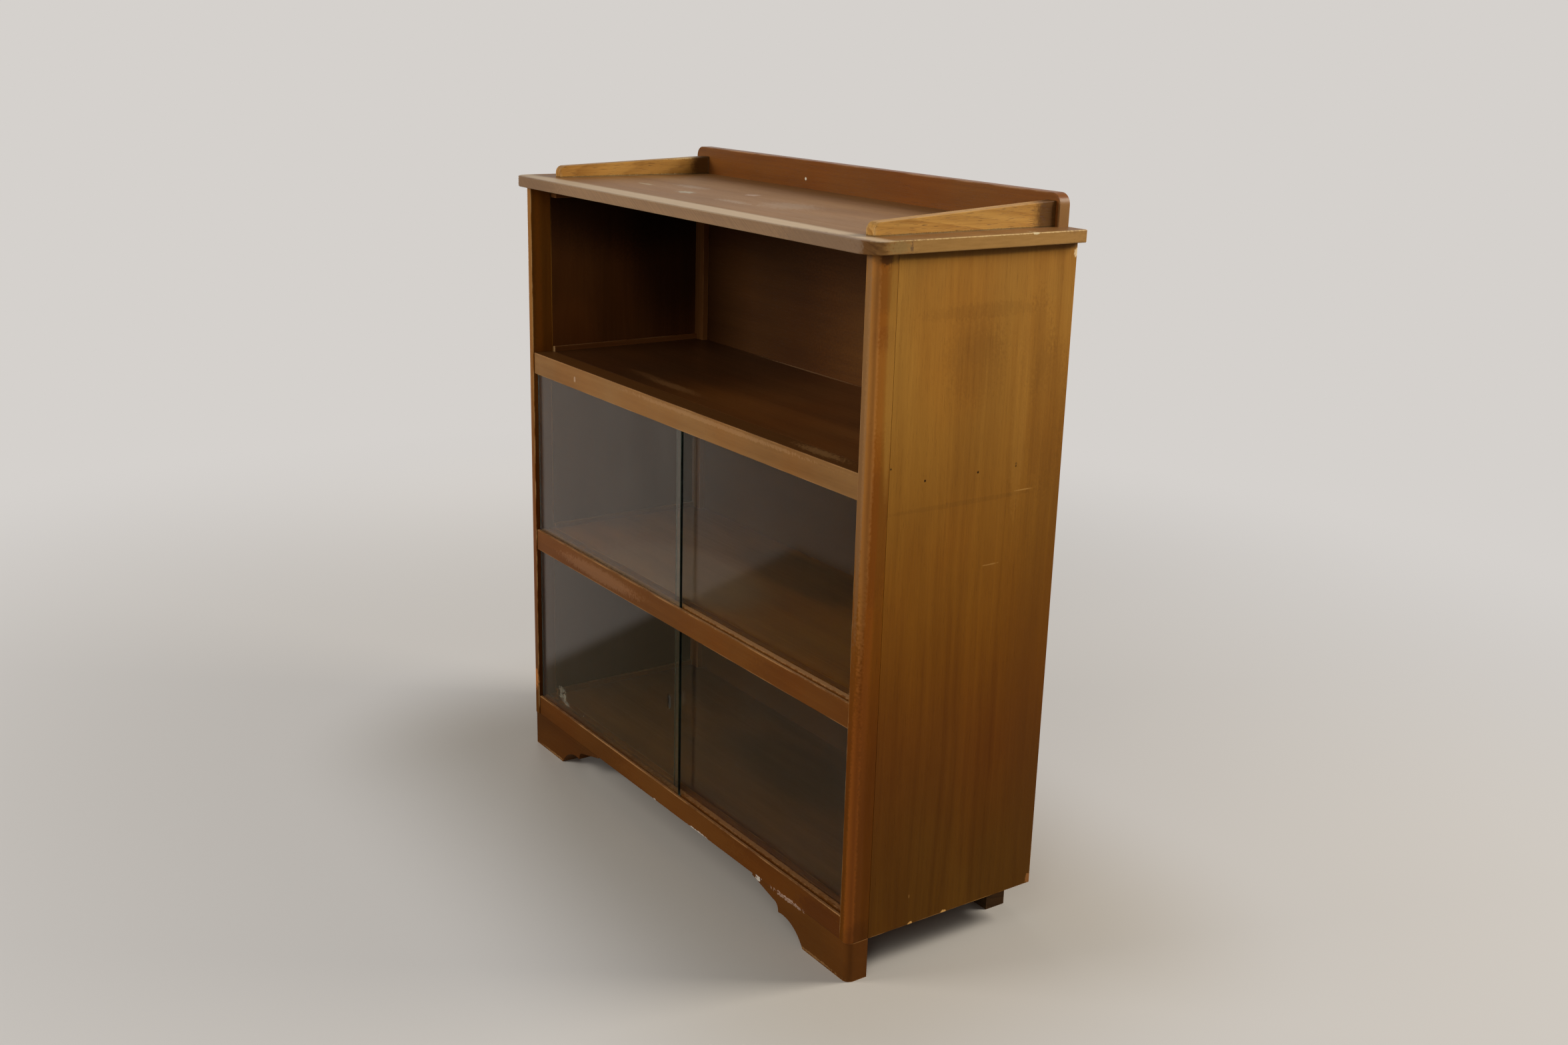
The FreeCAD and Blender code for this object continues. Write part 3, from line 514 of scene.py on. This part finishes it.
# The shelves' different tones are painted light and shade: the middle one lighter, the upper and bottom ones
# darker.
shelf_tones = {
    "upper": (shade(120, 74, 32), shade(70, 39, 15)),
    "middle": (shade(162, 103, 40), shade(106, 62, 24)),
    "bottom": (shade(120, 78, 36), shade(74, 45, 20)),
}
shelf_worn = shade(150, 104, 60)
bead_tones = shade(128, 80, 38), shade(84, 46, 20), shade(190, 150, 104)
bearer_tones = shade(150, 104, 58), shade(102, 62, 28), shade(176, 134, 84)
shelf_marks = {
    "upper": [
        # Painted shade over the left of the upper shelf.
        ((-0.48, 0.0500, 0.723), (0.560, 0.500, 0.05), shade(22, 11, 6), 0.66, 0.1),
        ((-0.11, -0.0920, 0.723), (0.085, 0.012, 0.01), shade(150, 106, 62), 0.45, 1.0),
        ((-0.20, -0.0850, 0.723), (0.060, 0.010, 0.01), shade(120, 80, 44), 0.35, 1.0),
        ((-0.10, 0.1665, 0.723), (0.170, 0.003, 0.01), shade(190, 150, 104), 0.70, 0.5),
    ],
    "middle": [
        # A painted pool of light, then painted shade towards the back.
        ((-0.12, -0.0600, 0.409), (0.240, 0.120, 0.02), shade(186, 160, 134), 0.28, 0.1),
        ((0.00, 0.1000, 0.409), (0.220, 0.080, 0.02), shade(40, 28, 18), 0.40, 0.1),
    ],
    "bottom": [
        # Painted shade towards the back of the bottom shelf.
        ((0.06, 0.0600, 0.095), (0.240, 0.090, 0.02), shade(36, 26, 16), 0.38, 0.1),
    ],
}
past_the_case = ((-0.6, -0.3, 0.0), (0.6, 0.3, 1.2))  # a shelf shows none of its arrises, so none is worn
for level, tones in shelf_tones.items():
    timber(level + "_shelf", (*tones, shelf_worn), "xyz", (0.2, 0.3, -0.9), rings=60, ringed=0.2, mottled=0.6,
           wear=0.0012, gloss=0.34, shine=0.35, marks=shelf_marks[level], box=past_the_case)
    for side in ("left", "right"):
        bead = f"{level}_{side}_bead"
        low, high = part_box(bead)
        profile = [(low.z, low.x), (low.z, high.x), (high.z, high.x), (high.z, low.x)]
        strip = planed(bead + "_strip", profile, "y", (low.y, high.y), 0.0010)
        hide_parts(bead)
        # Paler at the front end of the top of the bead.
        pale_front_end = ((low.x, low.y, high.z), (0.02, 0.0015, 0.02), shade(196, 156, 104), 0.7, 0.2)
        timber(bead, bead_tones, "yxz", (0.1, 0.4, -0.3), strip, rings=120, ringed=0.3, wear=0.0008, patch=9,
               marks=[pale_front_end] if level == "upper" else ())
        timber(f"{level}_{side}_bearer", bearer_tones, "yxz", (0.1, 0.4, -0.2), rings=120, wear=0.0015)


# ---- Feet ---------------------------------------------------------------------------------
# Bracket feet sawn from one board: a large cove up from the floor, a small cove after it, and a long
# taper out to the underside of the rail. The rear feet are plain blocks under the back rail.

# The left foot's darker tones are painted shade.
foot_tones = {
    "left": (shade(100, 56, 13), shade(68, 36, 7)),
    "right": (shade(112, 68, 23), shade(78, 44, 12)),
}
foot_worn = shade(150, 102, 50)
# The rear feet's dark tones are painted shade under the case.
rear_foot_tones = shade(76, 52, 30), shade(48, 31, 16), shade(96, 68, 42)
foot_noses = {"left": 0.007, "right": 0.011}
taper_end = 0.0575
foot_marks = {
    "left": [
        ((-0.400, front_y, 0.0030), (0.060, 0.01, 0.0020), shade(170, 128, 80), 0.5, 0.9),
    ],
    "right": [
        ((0.400, front_y, 0.0030), (0.060, 0.01, 0.0020), shade(170, 128, 80), 0.5, 0.9),
        ((0.254, front_y, 0.0580), (0.008, 0.01, 0.0030), white_chip, 0.8, 0.8),
        ((0.330, front_y, 0.0590), (0.036, 0.01, 0.0022), pale_scuff, 0.5, 1.3),
        ((side_x, -0.140, 0.0597), (0.020, 0.03, 0.0009), shade(160, 112, 62), 0.5, 0.6),
    ],
}
for side, sign in (("left", -1), ("right", 1)):
    # The sawn line, as distances from the side of the case and from the floor.
    node = side + "_front_foot"
    low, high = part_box(node)
    cove = arc((0.158, -0.030), 0.060, 150, 79.9, 12)
    scoop = arc((0.1815, 0.031), 0.013, 180, 90, 7)
    tip = high.x - low.x
    outline = np.vstack([[(0, high.z), (0, low.z)], cove, scoop, [(tip, taper_end), (tip, high.z)]])
    # The nose is a quarter round: at a depth behind the face, the outer edge stands in by the radius less
    # the root of the radius squared minus the square of what is left of the radius.
    nose = foot_noses[side]
    depths = np.append(nose * (1 - np.cos(np.radians(np.linspace(0, 90, 9)))), high.y - low.y)
    left_over = np.clip(nose - depths, 0, nose)
    rings = np.repeat(outline[None], len(depths), 0)
    rings[:, :2, 0] = nose - np.sqrt(nose ** 2 - left_over ** 2)[:, None]
    rings = np.stack([rings[:, :, 1], sign * (side_x - rings[:, :, 0])], 2)
    foot = planed(side + "_bracket_foot", rings, "y", low.y + depths, 0.0009)
    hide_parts(node)
    timber(node, (*foot_tones[side], foot_worn), "xzy", (0.1, 0.02, 0.25), foot, rings=60, ringed=0.15,
           streaked=0.3, mottled=0.7, wear=0.0018, patch=20, marks=foot_marks[side],
           box=(low, (high.x, 0.1, 0.3)))
    timber(side + "_rear_foot", rear_foot_tones, "xyz", (0.1, 0.3, 0.5), rings=140, wear=0.002)


# ---- Back ---------------------------------------------------------------------------------
# Stained plywood behind, uprights in the rear corners, cleats under the top board and a rail
# under the bottom shelf.

back_tones = shade(118, 75, 33), shade(76, 44, 17), shade(140, 98, 56)
post_tones = shade(150, 100, 54), shade(104, 62, 28), shade(170, 124, 74)
cleat_tones = shade(130, 86, 44), shade(88, 52, 24), shade(160, 116, 68)
back_rail_tones = shade(140, 98, 56), shade(96, 62, 30), shade(160, 116, 68)
back_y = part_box("back_panel")[0].y
# Painted shade on the back panel: on the left, in the shadow of the left side; at the top, under the top
# board; and low down, behind the glass.
back_marks = [
    ((-0.42, back_y, 0.80), (0.50, 0.0045, 0.30), shade(40, 20, 8), 0.64, 0.1),
    ((0.10, back_y, 1.00), (0.90, 0.0045, 0.14), shade(60, 34, 14), 0.30, 0.1),
    ((0.00, back_y, 0.35), (1.40, 0.0045, 0.37), shade(40, 24, 14), 0.50, 0.1),
]
timber("back_panel", back_tones, "xzy", (0.2, 0.3, 0.9), rings=30, wander=0.05, ringed=0.1, streaked=0.2,
       mottled=0.6, wear=0.001, gloss=0.45, marks=back_marks)
for side in ("left", "right"):
    timber(side + "_rear_post", post_tones, "zxy", (0.1, 0.3, 0.5), rings=140, wear=0.001)
    timber(f"top_{side}_cleat", cleat_tones, "yxz", (0.1, 0.3, 0.5), rings=140, wear=0.001)
timber("lower_back_rail", back_rail_tones, "xzy", (0.1, 0.3, 0.5), rings=140, wear=0.001)


# ---- Top board ----------------------------------------------------------------------------
# A solid board with rounded front corners. Its face carries rings and scratches, with a painted sheen along
# its front and painted shade along its back.

low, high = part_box("top_board")
edge_x, edge_y, board_top = high.x, low.y, high.z
corner = 0.032
outline = np.vstack([
    arc((low.x + corner, low.y + corner), corner, 180, 270, 14),
    arc((high.x - corner, low.y + corner), corner, 270, 360, 14),
    [(high.x, high.y), (low.x, high.y)]])
board = planed("top_board_solid", outline, "z", (low.z, high.z), 0.0015)
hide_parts("top_board")
board_tones = shade(160, 118, 70), shade(116, 78, 40), shade(196, 164, 120)
stain = shade(206, 190, 170)
board_marks = [
    # Painted shade and reflection of the gallery's back rail, along the back of the face.
    ((0.000, 0.1700, board_top), (0.900, 0.1300, 0.0100), shade(100, 62, 31), 0.28, 0.04),
    # Painted sheen along the front of the face.
    ((0.000, -0.1580, board_top), (0.800, 0.0270, 0.0030), shade(224, 199, 164), 0.70, 0.05),
    ((0.070, -0.1345, board_top), (0.360, 0.0008, 0.0020), shade(110, 76, 46), 0.35, 0.1),
    ((edge_x, 0.0200, 1.0080), (0.004, 0.2400, 0.0200), shade(184, 140, 76), 0.60, 0.2),
    ((edge_x, 0.0200, board_top), (0.0014, 0.3000, 0.0014), shade(226, 196, 136), 0.60, 0.6),
    ((-0.130, -0.0600, board_top), (0.022, 0.0140, 0.0100), shade(206, 206, 184), 0.50, 0.5),
    ((-0.270, -0.0480, board_top), (0.026, 0.0070, 0.0100), shade(206, 190, 156), 0.50, 0.6),
    ((-0.055, 0.0120, board_top), (0.014, 0.0120, 0.0100), shade(214, 190, 176), 0.40, 0.6),
    ((0.100, -0.0300, board_top), (0.060, 0.0450, 0.0100), stain, 0.16, 0.7),
    ((-0.200, -0.0050, board_top), (0.050, 0.0160, 0.0100), stain, 0.22, 0.8),
    ((0.020, -0.0700, board_top), (0.050, 0.0120, 0.0100), stain, 0.22, 0.8),
    ((0.420, edge_y, 1.0080), (0.160, 0.0200, 0.0200), shade(100, 66, 36), 0.60, 0.3),
    ((0.000, edge_y, 1.0080), (0.900, 0.0040, 0.0300), shade(152, 130, 108), 0.45, 0.3),
    ((-0.430, edge_y, 1.0080), (0.140, 0.0040, 0.0300), shade(112, 84, 58), 0.42, 0.3),
    ((edge_x, -0.1340, 1.0085), (0.020, 0.0200, 0.0100), shade(140, 120, 76), 0.45, 0.6),
    ((edge_x, -0.1155, 1.0085), (0.020, 0.0022, 0.0090), shade(84, 62, 52), 0.60, 1.2),
    ((edge_x, 0.0880, 1.0160), (0.020, 0.0060, 0.0016), shade(226, 206, 160), 0.80, 0.6),
]
timber("top_board", board_tones, "xyz", (0.3, 0.22, -0.35), board, lean=0.03, rings=70, wander=0.03,
       ringed=0.2, mottled=0.6, pored=0.2, warmed=0.2, slanted=2.2, wear=0.0018, patch=18, marks=board_marks)


# ---- Gallery ------------------------------------------------------------------------------
# Low rails let into the top board: a taller one along the back with rounded corners, and one at
# each side that drops towards its rounded front end.

low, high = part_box("gallery_back_rail")
corner = 0.016
outline = np.vstack([
    [(low.x, low.z), (high.x, low.z)],
    arc((high.x - corner, high.z - corner), corner, 0, 90),
    arc((low.x + corner, high.z - corner), corner, 90, 180)])
back_upstand = planed("gallery_back", outline[:, ::-1], "y", (low.y, high.y), 0.0012)
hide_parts("gallery_back_rail")
upstand_tones = shade(144, 90, 40), shade(102, 59, 25), shade(196, 150, 108)
upstand_marks = [
    ((-0.124, 0.1595, 1.032), (0.003, 0.01, 0.0028), shade(236, 226, 200), 0.95, 0.2),
    ((0.452, 0.1690, 1.035), (0.004, 0.03, 0.0500), shade(152, 114, 68), 0.65, 0.2),
]
timber("gallery_back_rail", upstand_tones, "xzy", (0.2, 0.9, 0.4), back_upstand, rings=80, ringed=0.2,
       mottled=0.5, wear=0.0022, patch=12, gloss=0.34, marks=upstand_marks)

# The left rail's darker tones are painted shade.
side_upstand_tones = {
    "left": (shade(196, 146, 72), shade(136, 90, 34)),
    "right": (shade(212, 163, 86), shade(150, 99, 40)),
}
# Wear on the arrises with a painted highlight: near white, and worn wide.
side_upstand_wear_and_highlight = shade(255, 236, 180)
nose = 0.011
for side, front_rise, rear_rise in (("left", 0.018, 0.029), ("right", 0.017, 0.034)):
    node = f"gallery_{side}_rail"
    low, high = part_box(node)
    fall = (rear_rise - front_rise) / (high.y - low.y)
    slope = np.arctan(fall)
    centre = (low.y + nose, board_top + front_rise + fall * nose - nose / np.cos(slope))
    front_end = arc(centre, nose, 180, 90 + np.degrees(slope))
    outline = np.vstack([[(low.y, low.z)], front_end, [(high.y, board_top + rear_rise), (high.y, low.z)]])
    upstand = planed(f"gallery_{side}", outline, "x", (low.x, high.x), 0.0010)
    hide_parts(node)
    shaded_end = ((high.x, high.y, 1.030), (0.03, 0.045, 0.06), shade(72, 40, 15), 0.85, 0.1)
    # Painted shade along the joint between the rail and the top board.
    painted_shade_line = ((high.x, 0.0, board_top + 0.0006), (0.03, 0.50, 0.0016), shade(64, 50, 20), 0.65, 0.3)
    timber(node, (*side_upstand_tones[side], side_upstand_wear_and_highlight), "yzx", (0.1, 0.9, 0.3), upstand, lean=0.12,
           rings=110, ringed=0.6, fibred=0.9, mottled=0.4, pored=0.8, warmed=0.25, wear=0.0042, patch=7,
           marks=[shaded_end, painted_shade_line])


# ---- Glass doors --------------------------------------------------------------------------
# Four frameless panes of 4 mm sheet glass, their edges ground and green. The left panes run in
# the front grooves and the right panes in the rear ones. One has a ground finger grip.

def sheet_glass(node, grip=None):
    """Clear glass. Within about 2 mm of the ground edges the colour turns to bottle green, and the ground
    finger grip, given by its centre and half size, is frosted."""
    made, tree, shader, place = new_material(node + " glass")
    low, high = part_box(node)
    edge = shared(tree, WEAR, Vector=place, Low=low, High=high, Width=0.004, Patch=1.0)
    rim = spread(tree, edge["Distance"], 0.0022, 0.0012)
    tree.links.new(tinted(tree, rim, shade(243, 247, 243), shade(86, 136, 114)), shader.inputs["Base Color"])
    haze = spread(tree, cloud(tree, place, (14, 60, 9), 5.0, 0.7), 0.45, 0.8, 0.004, 0.035)
    haze = maths(tree, "MAXIMUM", haze, maths(tree, "MULTIPLY", rim, 0.25))
    if grip:
        frost = marked(tree, place, *grip, 0.05)
        haze = maths(tree, "MAXIMUM", haze, maths(tree, "MULTIPLY", frost, 0.7))
    tree.links.new(haze, shader.inputs["Roughness"])
    shader.inputs["Transmission Weight"].default_value = 1.0
    shader.inputs["IOR"].default_value = 1.5
    shader.inputs["Specular Tint"].default_value = (0.12, 0.08, 0.05, 1.0)
    coat(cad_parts[node], made)


def gone_along(tree, place, start, direction):
    """How far a point has gone from start in a direction: the dot product of that way and the direction."""
    return vectors(tree, "DOT_PRODUCT", vectors(tree, "SUBTRACT", place, start), direction, out="Value")


def film_of_grime_and_reflection(door, start, end, thick, thin, spots=()):
    """Dust and dried smears 0.15 mm in front of a pane, which also paint the pale reflection across it. Point
    (u, v) of the sheet is u of the way along the pane and v of the way up it. How dense it is runs from thick
    at the start point to thin at the end point, broken by cloudy noise, with a denser patch at each spot."""
    low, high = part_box(door)
    columns, rows = 24, 16
    rim, gap = 0.001, 0.00015
    u, v = np.meshgrid(np.linspace(0, 1, columns + 1), np.linspace(0, 1, rows + 1))
    points = np.stack([low.x + rim + u * (high.x - low.x - 2 * rim), np.full_like(u, low.y - gap),
                       low.z + rim + v * (high.z - low.z - 2 * rim)], 2).reshape(-1, 3)
    first = (np.arange(rows)[:, None] * (columns + 1) + np.arange(columns)).reshape(-1)
    above = first + columns + 1
    faces = np.stack([first, first + 1, above + 1, above], 1).tolist()
    film = new_piece(door + "_dust", points, faces, door)
    made, tree, shader, place = new_material(door + " dust")
    way = Vector(end) - Vector(start)
    along = gone_along(tree, place, start, way / way.length_squared)
    dense = spread(tree, along, 0.0, 1.0, thick, thin)
    broken = spread(tree, cloud(tree, place, (9, 9, 5), 5.0, 0.6), 0.3, 0.75, 0.7, 1.35)
    fine = spread(tree, cloud(tree, place, (240, 240, 90), 4.0, 0.7), 0.3, 0.7, 0.85, 1.2)
    dense = maths(tree, "MULTIPLY", maths(tree, "MULTIPLY", dense, broken), fine)
    colour = tinted(tree, cloud(tree, place, (6, 6, 8), 3.0), shade(188, 178, 166), shade(160, 151, 142))
    for centre, half, density in spots:
        spot = marked(tree, place, centre, half, 1.1)
        dense = maths(tree, "MAXIMUM", dense, maths(tree, "MULTIPLY", spot, density))
        colour = tinted(tree, spot, colour, shade(206, 200, 176))
    tree.links.new(colour, shader.inputs["Base Color"])
    tree.links.new(maths(tree, "MULTIPLY", dense, 1.0, clamp=True), shader.inputs["Alpha"])
    tree.links.new(spread(tree, fine, 0.85, 1.2, 0.75, 0.95), shader.inputs["Roughness"])
    shader.inputs["Specular IOR Level"].default_value = 0.0
    coat(film, made)


finger_grip = ((-0.0135, -0.153, 0.24165), (0.0050, 0.003, 0.0150))
residue = [
    ((-0.377, -0.153, 0.133), (0.0140, 0.003, 0.0060), 0.20),
    ((-0.382, -0.153, 0.123), (0.0060, 0.003, 0.0100), 0.24),
    ((-0.370, -0.153, 0.119), (0.0080, 0.003, 0.0130), 0.28),
    ((-0.360, -0.153, 0.112), (0.0080, 0.003, 0.0050), 0.24),
    ((-0.300, -0.153, 0.112), (0.0014, 0.003, 0.0014), 0.70),
]
# Each pane's film, thick to thin: partly grime and smears, partly a painted reflection.
grime_and_reflection = {
    "upper_left_door": ((-0.45, -0.15, 0.69), (0.00, -0.15, 0.42), 0.070, 0.078),
    "upper_right_door": ((0.00, -0.14, 0.66), (0.42, -0.14, 0.48), 0.045, 0.004),
    "lower_left_door": ((-0.45, -0.15, 0.36), (-0.10, -0.15, 0.16), 0.062, 0.006, residue),
    "lower_right_door": ((0.00, -0.14, 0.36), (0.30, -0.14, 0.12), 0.012, 0.028),
}
for door, film in grime_and_reflection.items():
    film_of_grime_and_reflection(door, *film)
    sheet_glass(door, finger_grip if door == "lower_left_door" else None)


# ---- Room and camera ----------------------------------------------------------------------
# A plain pale floor that runs to the horizon, a pale surround and large soft lamps. Only the
# reflections in the varnish and the glass see two walls and a nearer floor.

reach = 30
floor_corners = [(-reach, -reach, 0), (reach, -reach, 0), (reach, reach, 0), (-reach, reach, 0)]
floor_mesh = bpy.data.meshes.new("floor")
floor_mesh.from_pydata(floor_corners, [], [(0, 1, 2, 3)])
floor = bpy.data.objects.new("floor", floor_mesh)
bpy.context.scene.collection.objects.link(floor)

surround = shade(213, 209, 205)
ground, tree, shader, place = new_material("pale floor")
shader.inputs["Base Color"].default_value = shade(196, 189, 178)
shader.inputs["Roughness"].default_value = 0.8
shader.inputs["Specular IOR Level"].default_value = 0.2

# Mirrored rays have met a gloss, and straight ones come from the camera, through glass or not.
path = add(tree, "LightPath").outputs
met_gloss = maths(tree, "GREATER_THAN", path["Glossy Depth"], 0.5)
straight = maths(tree, "SUBTRACT", path["Is Transmission Ray"], met_gloss, clamp=True)
straight = maths(tree, "MAXIMUM", path["Is Camera Ray"], straight)
shows = maths(tree, "MAXIMUM", path["Is Glossy Ray"], path["Is Transmission Ray"])
mirrored = maths(tree, "MULTIPLY", met_gloss, shows)

# Straight rays see the floor pale into the surround with the distance from the case.
case_plan = (side_x, 0.170, 0.0)
clear = vectors(tree, "SUBTRACT", vectors(tree, "ABSOLUTE", place), case_plan)
away = vectors(tree, "LENGTH", vectors(tree, "MAXIMUM", clear, (0, 0, 0)), out="Value")
paling = maths(tree, "ADD", spread(tree, away, 0.02, 0.45, 0.0, 0.5), spread(tree, away, 0.4, 2.4, 0.0, 0.5))
straight = maths(tree, "MULTIPLY", straight, paling)

# Mirrored rays see a brown floor that ends at the foot of one wall on the left and of one in front.
left_wall = gone_along(tree, place, (-0.99, -0.78, 0), (-0.911, 0.411, 0))
left_wall = maths(tree, "MAXIMUM", spread(tree, left_wall, -0.02, 0.05), spread(tree, away, 4.0, 8.0))
front_wall = spread(tree, add(tree, "SeparateXYZ", {0: place}).outputs["Y"], -1.18, -1.25)
across_walls = gone_along(tree, place, (-1.185, -1.203, 0), (0.582, -0.813, 0))
walls = tinted(tree, spread(tree, across_walls, -0.75, 0.30), shade(190, 178, 168), shade(142, 136, 126))
image = tinted(tree, maths(tree, "MAXIMUM", left_wall, front_wall), shade(104, 92, 70), walls)
image = tinted(tree, mirrored, surround, image)
glow = add(tree, "Emission", {"Color": image, "Strength": 1.0}).outputs[0]
glowing = maths(tree, "MAXIMUM", straight, mirrored)
both = add(tree, "MixShader", {0: glowing, 1: shader.outputs[0], 2: glow}).outputs[0]
tree.links.new(both, tree.nodes["Material Output"].inputs["Surface"])
coat(floor, ground)

world = bpy.data.worlds.new("surround")
bpy.context.scene.world = world
world.use_nodes = True
tree = world.node_tree
tree.nodes.clear()
path = add(tree, "LightPath").outputs
seen = maths(tree, "MAXIMUM", path["Is Glossy Ray"], path["Is Transmission Ray"])
seen = maths(tree, "MAXIMUM", path["Is Camera Ray"], seen)
backdrop = add(tree, "Background", {"Color": surround, "Strength": 1.0}).outputs[0]
ambient = add(tree, "Background", {"Color": (0.95, 0.97, 1.0, 1.0), "Strength": 0.095}).outputs[0]
mixed = add(tree, "MixShader", {0: seen, 1: ambient, 2: backdrop}).outputs[0]
tree.links.new(mixed, add(tree, "OutputWorld").inputs[0])


def lamp(name, place, aim, width, height, power, colour):
    """A soft rectangular lamp at a place, turned to face the point that it is aimed at."""
    data = bpy.data.lights.new(name, "AREA")
    data.shape = "RECTANGLE"
    data.size, data.size_y = width, height
    data.energy = power
    data.color = colour
    made = bpy.data.objects.new(name, data)
    made.location = place
    made.rotation_mode = "QUATERNION"
    made.rotation_quaternion = (Vector(aim) - Vector(place)).to_track_quat("-Z", "Y")
    made.visible_camera = False
    bpy.context.scene.collection.objects.link(made)


lamp("side lamp", (1.38, 1.80, 2.02), (0.45, 0.0, 0.9), 0.9, 0.9, 58, (1.0, 0.96, 0.9))
lamp("ceiling lamp", (1.0, -1.7, 2.7), (0.0, 0.0, 0.8), 1.5, 1.2, 9, (1.0, 0.97, 0.93))
lamp("corner lamp", (2.3, -2.1, 1.9), (0.4, -0.1, 0.6), 0.9, 0.9, 12, (1.0, 0.97, 0.93))
lamp("left lamp", (-2.6, 0.8, 0.7), (-0.4, 0.0, 0.5), 0.9, 0.5, 10, (1.0, 0.98, 0.96))
lamp("front lamp", (-1.25, -3.1, 1.95), (0.0, 0.0, 0.7), 1.4, 1.0, 54, (1.0, 0.98, 0.96))

eye = (2.03959, -1.38472, 1.25037)
yaw, pitch, roll = 0.95824829, -0.28885709, -0.02768202
forward = np.array([-np.sin(yaw) * np.cos(pitch), np.cos(yaw) * np.cos(pitch), np.sin(pitch)])
right = np.array([np.cos(yaw), np.sin(yaw), 0.0])
down = np.cross(forward, right)
rolled_right = np.cos(roll) * right + np.sin(roll) * down
rolled_down = np.cos(roll) * down - np.sin(roll) * right
pose = np.vstack([np.stack([rolled_right, -rolled_down, -forward, eye], 1), [0, 0, 0, 1]])
camera = bpy.data.objects.new("camera", bpy.data.cameras.new("camera"))
camera.data.lens = 37.663
camera.data.sensor_width = 36.0
camera.matrix_world = Matrix(pose.tolist())
bpy.context.scene.collection.objects.link(camera)
bpy.context.scene.camera = camera
bpy.context.scene.view_settings.view_transform = "Standard"

bpy.context.view_layer.update()
